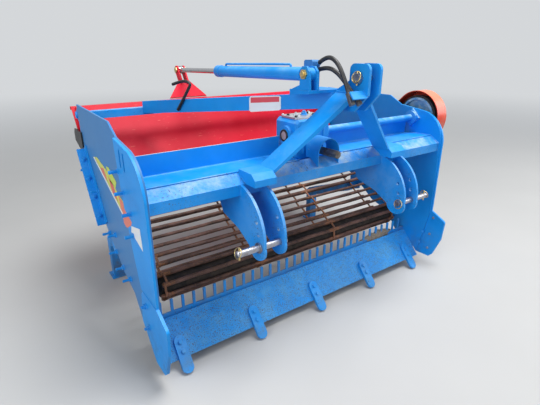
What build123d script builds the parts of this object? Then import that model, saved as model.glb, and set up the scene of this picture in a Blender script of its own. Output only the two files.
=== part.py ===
from build123d import *
import os
from math import atan2, cos, degrees, hypot, pi, radians, sin, tan

# Tractor-mounted stone picker. A digging blade lifts soil and stones on to an endless bar web, the web
# sieves the soil out and drops the stones into a bin, and a hinged rear gate empties the bin downwards.
# Sizes are in millimetres. X runs across, Y runs back from the tractor and Z up. Places are measured from
# the datum: the centreline, the front edge of the front beam and the ground. The origin itself is the
# middle of the machine's whole outline, on the ground.

# Side plates
half_width = 840.0
plate_t = 8.0
seat = 0.3
ear_t = 12.0
plate_front_y = -12.0
plate_foot_z = 350.0
plate_shoulder_z = 790.0
shoulder_y = 115.0
shoulder_z = 940.0
shoulder_bulge = 33.0
step_y = 277.0
step_z = 960.0
peak_y = 370.0
plate_top_z = 1014.0
plate_rear_y = 930.0
plate_low_z = 445.0
plate_underside = ((550, 385), (437, 305), (300, 262), (221, 165), (110, 100), (40, 90))
doubler_t = 10.0
doubler_lap = 8.0
doubler_foot_z = 365.0
doubler_foot_y = 150.0
doubler_waist = 22.0
cheek_t = 12.0
cheek_toe_r = 18.0
cheek_outline = ((-112, 320), (-103, 205), (-60, 90), (-40, 70), (50, 68), (180, 200))

# Front beam, apron and lower link brackets
lip_z = 775.0
beam_rise = 36.0
beam_depth = 58.0
beam_h = 45.0
beam_wall = 5.0
apron_t = 5.0
fold_h = 44.0
apron_y = 113.0
apron_z = 918.0
gear_gap = 208.0
link_span = 831.0
link_gap = 97.0
link_t = 12.0
link_y = -133.0
link_z = 557.0
link_pin_r = 14.0
link_tip_r = 57.0
link_stub = 104.0
link_spares = ((11, 49), (21, 98))
link_spare_r = 9.0
link_heel = ((24, 23), (148, 54), (180, 106), (170, 142))

# Mast, legs and top beam
mast_pin_y = -176.0
mast_pin_z = 1168.0
mast_pin_r = 12.5
mast_gap = 50.0
mast_t = 12.0
mast_half_y = 50.0
mast_top_z = 1222.0
mast_rear_y = -60.0
leg_foot_in = 70.5
leg_foot_w = 102.0
leg_foot_z = 825.0
leg_t = 16.0
leg_depth = 100.0
leg_head_z = 1100.0
boom_w = 50.0
boom_h = 64.0
boom_x = -500.0
boom_start_x = -25.0
boom_start_z = 1075.0
boom_end_z = 979.0
bar_y = 900.0
bar_w = 45.0
bar_z = 940.0
bar_h = 38.0

# Blade, tines and comb
blade_y = 30.0
blade_z = 50.0
blade_angle = 48.0
blade_len = 182.0
blade_t = 10.0
tine_count = 5
tine_side_gap = 90.0
tine_w = 50.0
tine_t = 14.0
tine_lap = 95.0
tine_bolts = (30.0, 70.0)
tine_bolt_w = 11.0
comb_count = 31
comb_side_gap = 52.5
comb_t = 8.0
comb_w = 12.0
comb_bar_h = 60.0
comb_tooth_h = 62.0

# Sieve web: bars on four hooked chains round two drums
web_y = 237.0
web_z = 292.0
web_angle = 29.5
web_length = 471.0
web_r = 55.0
web_side_gap = 70.0
rod_count = 26
rod_r = 5.5
tie_r = 8.5
tie_every = 5
link_bar_h = 8.0
link_eye_r = 9.5
chain_w = 24.0
chain_in = 25.0
chain_count = 4
drum_shaft_r = 18.0
drum_gap = 0.5
skirt_t = 5.0
skirt_in = 62.0
skirt_h = 120.0

# Gate and bin
gate_angle = 50.0
rim_y = 1123.0
rim_z = 980.0
gate_foot_z = 445.0
gate_lap = 2.0
gate_t = 5.0
gate_clear = 16.0
rim_flange = 30.0
gate_side_gap = 11.0
gate_side_z = 548.0
hinge_y = 985.0
hinge_z = 955.0
hinge_pin_r = 12.0
hinge_r = 28.0
gusset_w = 247.0
gusset_top_w = 60.0
gusset_t = 10.0

# Cylinder
ram_x = -150.0
ram_base_y = -16.0
ram_base_z = 1180.0
ram_eye_y = 1245.0
ram_eye_z = 1146.0
ram_r = 27.0
ram_bore_r = 21.0
ram_rod_r = 14.0
ram_tube_len = 751.0
ram_gland = 40.0
ram_eye_r = 24.0
ram_eye_w = 30.0
ram_pin_r = 11.0
ram_lug_t = 10.0
ram_side_gap = 0.5
gate_travel = 65.0
clevis_reach = 72.0
clevis_rim = 2.0
pipe_r = 5.0
pipe_h = 37.0
pipe_start = 118.0
pipe_tail = 86.0

# Gearbox and drive
pto_z = 838.0
pto_y = -55.0
pto_r = 17.4
shield_r = 64.0
shield_t = 4.0
gear_x0 = -95.0
gear_x1 = 110.0
gear_y0 = 125.0
gear_y1 = 275.0
gear_z0 = 785.0
gear_z1 = 972.0
gear_lid_t = 8.0
gear_edge = 16.0
gear_foot = 20.0
shelf_t = 10.0
cross_y = 190.0
cross_z = 897.0
cross_r = 17.5
hub_r = 44.0
bearing_r = 52.0
bearing_t = 26.0
pulley_gap = 22.0
pulley_w = 56.0
pulley_r = 110.0
drive_r = 62.0
belt_t = 12.0
belt_w = 44.0
guard_gap = 14.0
guard_w = 83.0
guard_r = 150.0
guard_tail_r = 92.0
guard_t = 4.0

# Edge rails, stops, stands, hoses
rail_reach = {"left": 42.0, "right": 9.0}
rail_foot = {"left": (640, 478), "right": (722, 599)}
rail_t = 6.0
rail_w = 46.0
rail_head = (866, 812)
stop_t = 8.0
stop_y = 1060.0
stand_y = 970.0
stand_w = 60.0
stand_tube = 50.0
stand_pad = 90.0
stand_bend_z = 225.0
stand_root = (560, 352)
stand_top = (580, 408)
stand_stub = ((566, 352), (626, 330), (626, 388), (580, 404))
stand_plate = ((550, 352), (550, 430), (596, 462), (640, 462), (640, 380), (612, 330))
foot_t = 8.0
hose_r = 8.5
hose_points = {
    "lower": ((-97, -14, 1196), (-94, -62, 1208), (-84, -110, 1186), (-72, -152, 1142), (-66, -178, 1112)),
    "upper": ((-97, -14, 1222), (-98, -58, 1248), (-97, -110, 1232), (-95, -150, 1180), (-94, -182, 1118)),
}
fitting_r = 11.0
coupler_r = 13.0
coupler_len = 50.0
latch_r = 8.0
latch_route = (
    (-437, 683, 962), (-429, 682, 990), (-438, 700, 1096), (-422, 668, 1121),
    (-389, 602, 1118), (-387, 598, 1092),
)
latch_bend = 16.0

# Places that follow from the sizes
running = 0.06
out_x = half_width + plate_t
pulley_x = out_x + pulley_gap
guard_x = out_x + guard_gap
left_reach = out_x + rail_reach["left"]
right_reach = guard_x + guard_w
front_reach = mast_half_y - mast_pin_y
rear_reach = ram_eye_y + ram_eye_r + clevis_rim
datum_x = (left_reach - right_reach) / 2
datum_y = (front_reach - rear_reach) / 2
in_half = half_width - seat
web_half = half_width - web_side_gap
gate_half = half_width + gate_lap
gate_side_x = half_width - ear_t - gate_side_gap
link_x = link_span / 2
leg_foot_x = link_x - leg_foot_in
gate_tan = tan(radians(gate_angle))
gate_sin = sin(radians(gate_angle))
gate_cos = cos(radians(gate_angle))
slope_y = cos(radians(web_angle))
slope_z = sin(radians(web_angle))
rear_y = web_y + web_length * slope_y
rear_z = web_z + web_length * slope_z
SIDES = (("left", -1), ("right", 1))


def side(x):
    """Upright plane across the machine at x: its own x is Y, its own y is Z, and it faces +X."""
    return Plane(origin=(datum_x + x, datum_y, 0), x_dir=(0, 1, 0), z_dir=(1, 0, 0))


def front(y):
    """Upright plane along the beam at y: its own x is X, its own y is Z, and it faces the tractor."""
    return Plane(origin=(datum_x, datum_y + y, 0), x_dir=(1, 0, 0), z_dir=(0, -1, 0))


def level(z):
    """Flat plane at height z."""
    return Plane(origin=(datum_x, datum_y, z), x_dir=(1, 0, 0), z_dir=(0, 0, 1))


def spot(x, y, z):
    """A place given from the datum, in the origin's frame."""
    return (datum_x + x, datum_y + y, z)


def keep(builder, label):
    """Names a finished piece and writes it."""
    builder.part.label = label
    export_step(builder.part, f"parts/{label}.step")


def gate_line(z, off=0.0):
    """The y at height z of a line parallel to the gate's inner face, moved towards the bin by off."""
    return rim_y + (z - rim_z) / gate_tan - off / gate_sin


def from_inner(sign, outer, thick):
    """Where an extrusion of the given thickness starts so that it ends outwards at the given |X|."""
    return outer - thick if sign > 0 else -outer


def shoulder(y, z):
    """The rounded shoulder of the side plates, from a front edge at y and z to the shoulder point."""
    run, rise = shoulder_y - y, shoulder_z - z
    chord = hypot(run, rise)
    via_y = (y + shoulder_y) / 2 - shoulder_bulge * rise / chord
    via_z = (z + shoulder_z) / 2 + shoulder_bulge * run / chord
    return (y, z), (via_y, via_z), (shoulder_y, shoulder_z)


os.makedirs("parts", exist_ok=True)

# Side plates: a cut-out sheet each side, rounded over the beam and cropped parallel to the gate behind
plate_rear_z = rim_z - (rim_y - plate_rear_y - gate_clear / gate_sin) * gate_tan
for name, sign in SIDES:
    with BuildPart() as side_plate:
        with BuildSketch(side(from_inner(sign, out_x, plate_t))):
            with BuildLine():
                Line((plate_front_y, plate_foot_z), (plate_front_y, plate_shoulder_z))
                ThreePointArc(*shoulder(plate_front_y, plate_shoulder_z))
                Polyline(
                    (shoulder_y, shoulder_z), (step_y, step_z), (peak_y, plate_top_z - 6),
                    (plate_rear_y, plate_top_z),
                    (plate_rear_y, plate_rear_z), (gate_line(plate_low_z, gate_clear), plate_low_z),
                    *plate_underside, (plate_front_y, plate_foot_z),
                )
            make_face()
            if sign > 0:
                with Locations((cross_y, cross_z)):
                    Circle(cross_r + 12, mode=Mode.SUBTRACT)
                with Locations((rear_y, rear_z)):
                    Circle(drum_shaft_r + 6, mode=Mode.SUBTRACT)
        extrude(amount=plate_t)
        with BuildSketch(side(from_inner(sign, half_width, ear_t))):
            Polygon(
                (bar_y - 20, bar_z - 10), (bar_y - 20, bar_z + bar_h + 8), (hinge_y, hinge_z + hinge_r),
                (hinge_y + 4, hinge_z - hinge_r), (plate_rear_y, bar_z - 25), align=None,
            )
            with Locations((hinge_y, hinge_z)):
                Circle(hinge_r)
                Circle(hinge_pin_r + running, mode=Mode.SUBTRACT)
        extrude(amount=ear_t)
    keep(side_plate, f"side_plate_{name}")

# Doublers: curved stiffening plates outside the front edges of the side plates, slotted on the undriven side
for name, sign in SIDES:
    with BuildPart() as doubler:
        with BuildSketch(side(from_inner(sign, out_x + doubler_t + seat, doubler_t))):
            front_y = plate_front_y - doubler_lap
            mid_y = (step_y + doubler_foot_y) / 2 + doubler_waist
            with BuildLine():
                Line((front_y, doubler_foot_z), (front_y, plate_shoulder_z - 5))
                ThreePointArc(*shoulder(front_y, plate_shoulder_z - 5))
                Line((shoulder_y, shoulder_z), (step_y, step_z))
                ThreePointArc(
                    (step_y, step_z), (mid_y, (step_z + doubler_foot_z) / 2),
                    (doubler_foot_y, doubler_foot_z),
                )
                Line((doubler_foot_y, doubler_foot_z), (front_y, doubler_foot_z))
            make_face()
            if sign > 0:
                with Locations((cross_y, cross_z)):
                    Circle(cross_r + 12, mode=Mode.SUBTRACT)
            else:
                with Locations((cross_y - 22, cross_z - 10), (cross_y + 22, cross_z - 4)):
                    SlotOverall(72, 16, rotation=90, mode=Mode.SUBTRACT)
        extrude(amount=doubler_t)
    keep(doubler, f"doubler_{name}")

# Cutter cheeks: pointed wear plates bolted outside the lower front corners
for name, sign in SIDES:
    with BuildPart() as cheek:
        with BuildSketch(side(from_inner(sign, out_x + cheek_t + seat, cheek_t))):
            top_z = doubler_foot_z - seat
            Polygon(
                (plate_front_y - doubler_lap, top_z), *cheek_outline, (doubler_foot_y, top_z - 20),
                (doubler_foot_y - 20, top_z), align=None,
            )
        extrude(amount=cheek_t)
        fillet(cheek.edges().filter_by(Axis.X).sort_by(Axis.Y)[:2], cheek_toe_r)
    keep(cheek, f"cheek_{name}")

# Front beam: a folded box under a sloping top, from side plate to side plate
beam_low_z = lip_z - beam_h
beam_top_z = lip_z + beam_rise
with BuildPart() as front_beam:
    with BuildSketch(side(-in_half)):
        Polygon((0, beam_low_z), (0, lip_z), (beam_depth, beam_top_z), (beam_depth, beam_low_z), align=None)
        offset(amount=-beam_wall, mode=Mode.SUBTRACT)
    extrude(amount=2 * in_half)
keep(front_beam, "front_beam")

# Apron: folded sheets above the beam that keep soil off the drive, open in the middle for the gearbox
fold_y = beam_depth - 8
fold_z = beam_top_z + fold_h
with BuildPart() as apron:
    for start, end in ((-in_half, -gear_gap), (gear_gap, in_half)):
        with BuildSketch(side(start)):
            Polygon(
                (beam_depth - apron_t, beam_top_z + seat), (fold_y, fold_z), (apron_y, apron_z),
                (apron_y + 16, apron_z),
                (apron_y + 16, apron_z - apron_t), (apron_y + 3, apron_z - apron_t),
                (fold_y + apron_t, fold_z - 2), (beam_depth, beam_top_z + seat), align=None,
            )
        extrude(amount=end - start)
keep(apron, "apron")

# Lower link brackets: two curved lug plates each side, welded under the beam, with spare holes for the pin
for name, sign in SIDES:
    with BuildPart() as link_bracket:
        for x in (sign * link_x - link_gap / 2, sign * link_x + link_gap / 2):
            with BuildSketch(side(x - link_t / 2)):
                tip = (link_y - 2, link_z - link_tip_r)
                with BuildLine():
                    Line((-seat, beam_low_z - seat), (-seat, lip_z - 1))
                    ThreePointArc((-seat, lip_z - 1), (-86, link_z + 176), (link_y - 30, link_z + 2))
                    ThreePointArc((link_y - 30, link_z + 2), (link_y - 24, link_z - 40), tip)
                    ThreePointArc(tip, (link_y + 39, link_z - 60), (link_y + 74, link_z - 21))
                    Polyline(
                        (link_y + 74, link_z - 21), *[(y, link_z + z) for y, z in link_heel],
                        (beam_depth + 8, beam_low_z - seat), (-seat, beam_low_z - seat),
                    )
                make_face()
                with Locations((link_y, link_z)):
                    Circle(link_pin_r + running, mode=Mode.SUBTRACT)
                with Locations(*[(link_y + y, link_z + z) for y, z in link_spares]):
                    RegularPolygon(link_spare_r, 12, mode=Mode.SUBTRACT)
            extrude(amount=link_t)
    keep(link_bracket, f"link_bracket_{name}")

# Lower link pins: through both lugs of each pair, with an outboard stub drilled for its linch pin
for name, sign in SIDES:
    outer_face = link_x + link_gap / 2 + link_t / 2
    inner_face = link_x - link_gap / 2 - link_t / 2
    reach = outer_face + link_stub
    with BuildPart() as link_pin:
        with BuildSketch(side(inner_face - 16 if sign > 0 else -reach)):
            with Locations((link_y, link_z)):
                Circle(link_pin_r)
        extrude(amount=reach - inner_face + 16)
        chamfer(link_pin.faces().sort_by(Axis.X)[-1 if sign > 0 else 0].edges(), 3)
        with BuildSketch(side(outer_face + seat if sign > 0 else -outer_face - seat)):
            with Locations((link_y, link_z)):
                RegularPolygon(link_pin_r + 8, 12)
        extrude(amount=sign * 8)
        with BuildSketch(level(link_z - 2 * link_pin_r)):
            with Locations((sign * (reach - 16), link_y)):
                RegularPolygon(5, 8)
        extrude(amount=4 * link_pin_r, mode=Mode.SUBTRACT)
    keep(link_pin, f"link_pin_{name}")

# Mast head: two lugs for the top link pin, spread over the meeting legs
mast_in = mast_gap / 2
mast_out = mast_in + mast_t
with BuildPart() as mast_head:
    front_y = mast_pin_y - mast_half_y
    for x in (-mast_out, mast_in):
        with BuildSketch(side(x)) as lug:
            Polygon(
                (front_y, mast_pin_z - 60), (front_y, mast_top_z), (mast_pin_y + mast_half_y, mast_top_z),
                (mast_pin_y + mast_half_y, mast_pin_z - 10), (mast_rear_y, leg_head_z + 20),
                (mast_rear_y, leg_head_z - 60), (mast_rear_y - leg_depth, leg_head_z - 60), align=None,
            )
            fillet(lug.vertices().group_by(Axis.Y)[-1], 24)
            with Locations((mast_pin_y, mast_pin_z)):
                Circle(mast_pin_r + running, mode=Mode.SUBTRACT)
        extrude(amount=mast_t)
    with BuildSketch(side(-mast_in)):
        with Locations((mast_rear_y - 4, leg_head_z - 24)):
            Rectangle(24, 68)
    extrude(amount=mast_gap)
    last_runs = [(Vector(*points[-2]), Vector(*points[-1])) for points in hose_points.values()]
    shelf_dir = (last_runs[0][1] - last_runs[0][0]).normalized()
    shelf_mid = (last_runs[0][1] + last_runs[1][1]) / 2 + shelf_dir * coupler_len / 2
    shelf_off = coupler_r + 9
    with BuildSketch(side(-mast_out - 74)):
        with Locations(Location(
            (shelf_mid.Y + shelf_off * shelf_dir.Z, shelf_mid.Z - shelf_off * shelf_dir.Y, 0),
            degrees(atan2(shelf_dir.Z, shelf_dir.Y)),
        )):
            Rectangle(coupler_len - 16, 6)
    extrude(amount=76)
keep(mast_head, "mast_head")

# Hose couplers, carried on the holder at the mast
with BuildPart() as hose_couplers:
    for before, last in last_runs:
        run_dir = (last - before).normalized()
        with BuildSketch(Plane(origin=spot(last.X, last.Y, last.Z), z_dir=run_dir)):
            RegularPolygon(coupler_r, 6)
        extrude(amount=coupler_len)
keep(hose_couplers, "hose_couplers")

with BuildPart() as mast_pin:
    with BuildSketch(side(-mast_out - 14)):
        with Locations((mast_pin_y, mast_pin_z)):
            Circle(mast_pin_r)
    extrude(amount=2 * mast_out + 34)
    with BuildSketch(side(-mast_out - 16)):
        with Locations((mast_pin_y, mast_pin_z)):
            RegularPolygon(mast_pin_r + 9, 6)
    extrude(amount=16 - seat)
keep(mast_pin, "mast_pin")

# Mast legs: flat bars bent up from feet on the beam and leaning forwards to the mast head
for name, sign in SIDES:
    with BuildPart() as mast_leg:
        foot_in = leg_foot_x if sign > 0 else -leg_foot_x - leg_foot_w
        with BuildSketch(side(foot_in)):
            Polygon(
                (fold_y, lip_z + beam_rise * fold_y / beam_depth + seat), (fold_y, leg_foot_z),
                (-44, leg_foot_z),
                (-70, leg_foot_z - 22), (-70, lip_z + seat), (-seat, lip_z + seat), align=None,
            )
        extrude(amount=leg_foot_w)
        with BuildSketch(side(sign * leg_foot_x)):
            with Locations((0, leg_foot_z - leg_t / 2)):
                Rectangle(leg_depth, leg_t)
        with BuildSketch(side(sign * (mast_out + seat))):
            with Locations((mast_rear_y - leg_depth / 2, leg_head_z)):
                Rectangle(leg_depth, leg_t * 1.5)
        loft()
    keep(mast_leg, f"mast_leg_{name}")

# Rear crossbar: a box tube between the hinge ears, over the bin
ear_in = half_width - ear_t
bar_half = ear_in - seat
with BuildPart() as rear_bar:
    with BuildSketch(side(-bar_half)):
        with Locations((bar_y + bar_w / 2, bar_z + bar_h / 2)):
            Rectangle(bar_w, bar_h)
            Rectangle(bar_w - 8, bar_h - 8, mode=Mode.SUBTRACT)
    extrude(amount=2 * bar_half)
keep(rear_bar, "rear_bar")

# Top beam: a box tube from behind the mast head, across to the crossbar
with BuildPart() as top_beam:
    boom_start_y = mast_rear_y + 8 + seat
    boom_end_y = bar_y - seat
    slant = hypot(boom_x - boom_start_x, boom_end_y - boom_start_y) / (boom_end_y - boom_start_y)
    for x, y, z in ((boom_start_x, boom_start_y, boom_start_z), (boom_x, boom_end_y, boom_end_z)):
        with BuildSketch(front(y)):
            with Locations((x, z)):
                Rectangle(boom_w * slant, boom_h)
    loft()
keep(top_beam, "top_beam")


def boom_top(y):
    """Height of the top beam's upper face at y."""
    share = (y - boom_start_y) / (boom_end_y - boom_start_y)
    return boom_start_z + share * (boom_end_z - boom_start_z) + boom_h / 2


# Cylinder bracket: a pedestal on the top beam with two lugs for the base pin and a block for the hose ports
lug_in = ram_eye_w / 2 + ram_side_gap
lug_out = lug_in + ram_lug_t
ped_z = boom_top(ram_base_y - 34) + 12
ped_rear_y = ram_base_y + 86
with BuildPart() as ram_bracket:
    with BuildSketch(side(ram_x - lug_out - 4)):
        Polygon(
            (ram_base_y - 34, boom_top(ram_base_y - 34) + seat), (ram_base_y - 34, ped_z),
            (ped_rear_y, ped_z),
            (ped_rear_y, boom_top(ped_rear_y) + seat), align=None,
        )
    extrude(amount=boom_start_x + boom_w / 2 - ram_x + lug_out)
    for x in (ram_x - lug_out, ram_x + lug_in):
        with BuildSketch(side(x)):
            Polygon(
                (ram_base_y - 34, ped_z), (ram_base_y - 28, ram_base_z + 12),
                (ram_base_y - 12, ram_base_z + 30),
                (ram_base_y + 14, ram_base_z + 30), (ram_base_y + 28, ram_base_z + 12),
                (ram_base_y + 28, ram_base_z - 42), (ram_base_y + 80, ped_z), align=None,
            )
            with Locations((ram_base_y, ram_base_z)):
                Circle(ram_pin_r + running, mode=Mode.SUBTRACT)
        extrude(amount=ram_lug_t)
keep(ram_bracket, "ram_bracket")

block_x = ram_x + ram_r + 6
with BuildPart() as port_block:
    with BuildSketch(side(block_x)):
        Polygon(
            (ram_base_y + 20, ped_z + seat), (ram_base_y + 20, ram_base_z + 52),
            (ram_base_y + 74, ram_base_z + 52),
            (ram_base_y + 74, ram_base_z + 22), (ram_base_y + 60, ped_z + seat), align=None,
        )
    extrude(amount=40)
    chamfer(port_block.edges().filter_by(Axis.X).sort_by(Axis.Z)[-2:], 6)
    for points in hose_points.values():
        leaving = (Vector(*points[1]) - Vector(*points[0])).normalized()
        with BuildSketch(Plane(origin=spot(*points[0]), z_dir=leaving)):
            RegularPolygon(fitting_r, 6)
        extrude(amount=-26)
keep(port_block, "port_block")

# Cylinder: barrel with its base eye, gland and return pipe, and a rod with its end eye
ram_len = hypot(ram_eye_y - ram_base_y, ram_eye_z - ram_base_z)
ram_uy = (ram_eye_y - ram_base_y) / ram_len
ram_uz = (ram_eye_z - ram_base_z) / ram_len
ram_plane = Plane(origin=spot(ram_x, ram_base_y, ram_base_z), x_dir=(0, ram_uy, ram_uz), z_dir=(1, 0, 0))
ram_axis = Axis(origin=spot(ram_x, ram_base_y, ram_base_z), direction=(0, ram_uy, ram_uz))
with BuildPart() as ram_barrel:
    start = ram_eye_r + 10
    gland_at = ram_tube_len - ram_gland
    with BuildSketch(ram_plane):
        Polygon(
            (start, 0), (start, ram_r), (gland_at, ram_r), (gland_at, ram_r + 3), (ram_tube_len, ram_r + 3),
            (ram_tube_len, ram_rod_r + running), (gland_at, ram_rod_r + running), (gland_at, ram_bore_r),
            (start + 30, ram_bore_r), (start + 30, 0), align=None,
        )
    revolve(axis=ram_axis)
    with BuildSketch(ram_plane.offset(-ram_eye_w / 2)):
        Circle(ram_eye_r)
        with Locations((start / 2, 0)):
            Rectangle(start, 1.5 * ram_eye_r)
        Circle(ram_pin_r + running, mode=Mode.SUBTRACT)
    extrude(amount=ram_eye_w)
keep(ram_barrel, "ram_barrel")

pipe_end = ram_tube_len - pipe_tail
with BuildLine(ram_plane) as pipe_path:
    FilletPolyline(
        (pipe_start, ram_r + seat), (pipe_start, pipe_h), (pipe_end, pipe_h), (pipe_end, ram_r + seat),
        radius=8,
    )
with BuildPart() as ram_pipe:
    with BuildSketch(Plane(origin=pipe_path.line @ 0, z_dir=pipe_path.line % 0)):
        RegularPolygon(pipe_r, 6)
    sweep(path=pipe_path.line)
keep(ram_pipe, "ram_pipe")

with BuildPart() as ram_rod:
    rod_in = ram_tube_len - ram_gland - 60
    with BuildSketch(ram_plane):
        Polygon(
            (rod_in, 0), (rod_in, ram_bore_r - seat), (rod_in + 40, ram_bore_r - seat),
            (rod_in + 40, ram_rod_r),
            (ram_len - ram_eye_r, ram_rod_r), (ram_len - ram_eye_r, 0), align=None,
        )
    revolve(axis=ram_axis)
    with BuildSketch(ram_plane.offset(-ram_eye_w / 2)):
        with Locations((ram_len, 0)):
            Circle(ram_eye_r)
        with Locations((ram_len - ram_eye_r, 0)):
            Rectangle(ram_eye_r, 1.4 * ram_rod_r)
        with Locations((ram_len, 0)):
            Circle(ram_pin_r + running, mode=Mode.SUBTRACT)
    extrude(amount=ram_eye_w)
keep(ram_rod, "ram_rod")

with BuildPart() as ram_pin:
    with BuildSketch(side(ram_x - lug_out - 14)):
        with Locations((ram_base_y, ram_base_z)):
            Circle(ram_pin_r)
    extrude(amount=2 * lug_out + 20)
    with BuildSketch(side(ram_x - lug_out - 8)):
        with Locations((ram_base_y, ram_base_z)):
            RegularPolygon(ram_pin_r + 9, 6)
    extrude(amount=8 - seat)
keep(ram_pin, "ram_pin")

# Hinge pins for the gate, in the ears on the inner faces of the side plates
with BuildPart() as hinge_pins:
    for name, sign in SIDES:
        reach = gate_side_x - 14
        with BuildSketch(side(reach if sign > 0 else -half_width - 6)):
            with Locations((hinge_y, hinge_z)):
                Circle(hinge_pin_r)
        extrude(amount=half_width + 6 - reach)
        with BuildSketch(side(sign * (half_width + seat))):
            with Locations((hinge_y, hinge_z)):
                RegularPolygon(hinge_pin_r + 7, 6)
        extrude(amount=sign * 8)
keep(hinge_pins, "hinge_pins")

# Gate: a sloping panel with a rolled rim that closes the bin, and flanges that reach forwards to the hinges
back_y = gate_t * gate_sin
back_z = gate_t * gate_cos
with BuildPart() as gate_panel:
    foot_y = gate_line(gate_foot_z)
    with BuildSketch(side(-gate_half)):
        Polygon(
            (foot_y, gate_foot_z), (rim_y, rim_z), (rim_y + rim_flange, rim_z),
            (rim_y + rim_flange, rim_z - 18),
            (rim_y + rim_flange - gate_t, rim_z - 18), (rim_y + rim_flange - gate_t, rim_z - gate_t),
            (rim_y + 3, rim_z - gate_t), (foot_y + back_y, gate_foot_z - back_z), align=None,
        )
    extrude(amount=2 * gate_half)
    for name, sign in SIDES:
        with BuildSketch(side(from_inner(sign, gate_side_x + gate_t, gate_t))):
            high_z = rim_z - 1
            Polygon(
                (gate_line(gate_side_z, -1), gate_side_z), (hinge_y - 24, hinge_z - 25),
                (hinge_y - 12, high_z),
                (gate_line(high_z, -1), high_z), align=None,
            )
            with Locations((hinge_y, hinge_z)):
                Circle(hinge_r - 4)
                Circle(hinge_pin_r + running, mode=Mode.SUBTRACT)
        extrude(amount=gate_t)
keep(gate_panel, "gate_panel")

# Gate arm: a tapering gusset on the rim that carries the rod's clevis
arm_len = hypot(ram_eye_y - rim_y - 14, ram_eye_z - rim_z)
arm_uy = (ram_eye_y - rim_y - 14) / arm_len
arm_uz = (ram_eye_z - rim_z) / arm_len
arm_plane = Plane(origin=spot(ram_x, ram_eye_y, ram_eye_z), x_dir=(1, 0, 0), z_dir=(0, -arm_uz, arm_uy))
with BuildPart() as gate_arm:
    with BuildSketch(arm_plane.offset(-gusset_t / 2)):
        low = -arm_len + gusset_t
        Polygon(
            (-gusset_w / 2, low), (gusset_w / 2, low), (gusset_top_w / 2, -clevis_reach),
            (-gusset_top_w / 2, -clevis_reach), align=None,
        )
    extrude(amount=gusset_t)
    for x in (ram_x - lug_out, ram_x + lug_in):
        with BuildSketch(side(x)):
            with Locations((ram_eye_y, ram_eye_z)):
                Circle(ram_eye_r + clevis_rim)
            with Locations(Location((ram_eye_y, ram_eye_z, 0), degrees(atan2(arm_uz, arm_uy)) + 180)):
                with Locations((clevis_reach / 2 + 12, 0)):
                    Rectangle(clevis_reach + 24, 44)
            with Locations((ram_eye_y, ram_eye_z)):
                Circle(ram_pin_r, mode=Mode.SUBTRACT)
        extrude(amount=ram_lug_t)
    split(bisect_by=level(rim_z + seat), keep=Keep.TOP)
keep(gate_arm, "gate_arm")

with BuildPart() as arm_pins:
    for name, sign in SIDES:
        start = lug_in if sign > 0 else -lug_in
        with BuildSketch(side(ram_x + start)):
            with Locations((ram_eye_y, ram_eye_z)):
                Circle(ram_pin_r - running)
        extrude(amount=sign * (ram_lug_t + 4))
        with BuildSketch(side(ram_x + sign * (lug_out + seat))):
            with Locations((ram_eye_y, ram_eye_z)):
                RegularPolygon(ram_pin_r + 7, 6)
        extrude(amount=sign * 7)
keep(arm_pins, "arm_pins")

# Blade: a digging sheet with a ground edge, from cheek to cheek
run_y = cos(radians(blade_angle))
run_z = sin(radians(blade_angle))
blade_plane = Plane(origin=spot(0, blade_y, blade_z), x_dir=(1, 0, 0), z_dir=(0, -run_z, run_y))
with BuildPart() as blade:
    with BuildSketch(side(-in_half)):
        top = (blade_y + blade_len * run_y, blade_z + blade_len * run_z)
        Polygon(
            (blade_y, blade_z), top, (top[0] + blade_t * run_z, top[1] - blade_t * run_y),
            (blade_y + 18 * run_y + blade_t * run_z, blade_z + 18 * run_z - blade_t * run_y), align=None,
        )
    extrude(amount=2 * in_half)
keep(blade, "blade")

# Tines: pointed digging fingers on the blade, down to the ground
tine_reach = blade_z / run_z - 1
tine_pitch = 2 * (half_width - tine_side_gap) / (tine_count - 1)
tine_nose = [(cos(radians(turn)), sin(radians(turn))) for turn in range(0, 181, 30)]
with BuildPart() as tines:
    with BuildSketch(blade_plane.offset(seat)):
        with GridLocations(tine_pitch, 0, tine_count, 1):
            Polygon(
                *[(tine_w / 2 * x, tine_lap - tine_w / 2 + tine_w / 2 * y) for x, y in tine_nose],
                *[(-tine_w / 2 * x, tine_w / 2 - tine_reach - tine_w / 2 * y) for x, y in tine_nose],
                align=None,
            )
            with Locations(*[(0, tine_lap - down) for down in tine_bolts]):
                Rectangle(tine_bolt_w, tine_bolt_w, rotation=45, mode=Mode.SUBTRACT)
    extrude(amount=tine_t)
keep(tines, "tines")

# Comb: upright fingers on a bar behind the blade that bridge the step up to the web
comb_y = blade_y + blade_len * run_y + blade_t * run_z + seat
comb_z = blade_z + blade_len * run_z + 16
comb_pitch = 2 * (half_width - comb_side_gap) / (comb_count - 1)
with BuildPart() as comb:
    with BuildSketch(front(comb_y)):
        with Locations((0, comb_z - comb_bar_h / 2)):
            Rectangle(2 * in_half, comb_bar_h)
        with Locations((0, comb_z + comb_tooth_h / 2)):
            with GridLocations(comb_pitch, 0, comb_count, 1):
                Rectangle(comb_w, comb_tooth_h)
    extrude(amount=-comb_t)
keep(comb, "comb")

# Sieve web: bars on hooked chains, with a thicker tie bar at every few
web_loop = 2 * web_length + 2 * pi * web_r


def on_web(distance):
    """The place on the web's loop at a distance from the foot of its upper run."""
    distance = distance % web_loop
    turn = pi * web_r
    if distance < web_length:
        along, out = distance, web_r
    elif distance < web_length + turn:
        angle = (distance - web_length) / web_r
        along, out = web_length + web_r * sin(angle), web_r * cos(angle)
    elif distance < 2 * web_length + turn:
        along, out = 2 * web_length + turn - distance, -web_r
    else:
        angle = (distance - 2 * web_length - turn) / web_r
        along, out = -web_r * sin(angle), -web_r * cos(angle)
    return (web_y + along * slope_y - out * slope_z, web_z + along * slope_z + out * slope_y)


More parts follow.
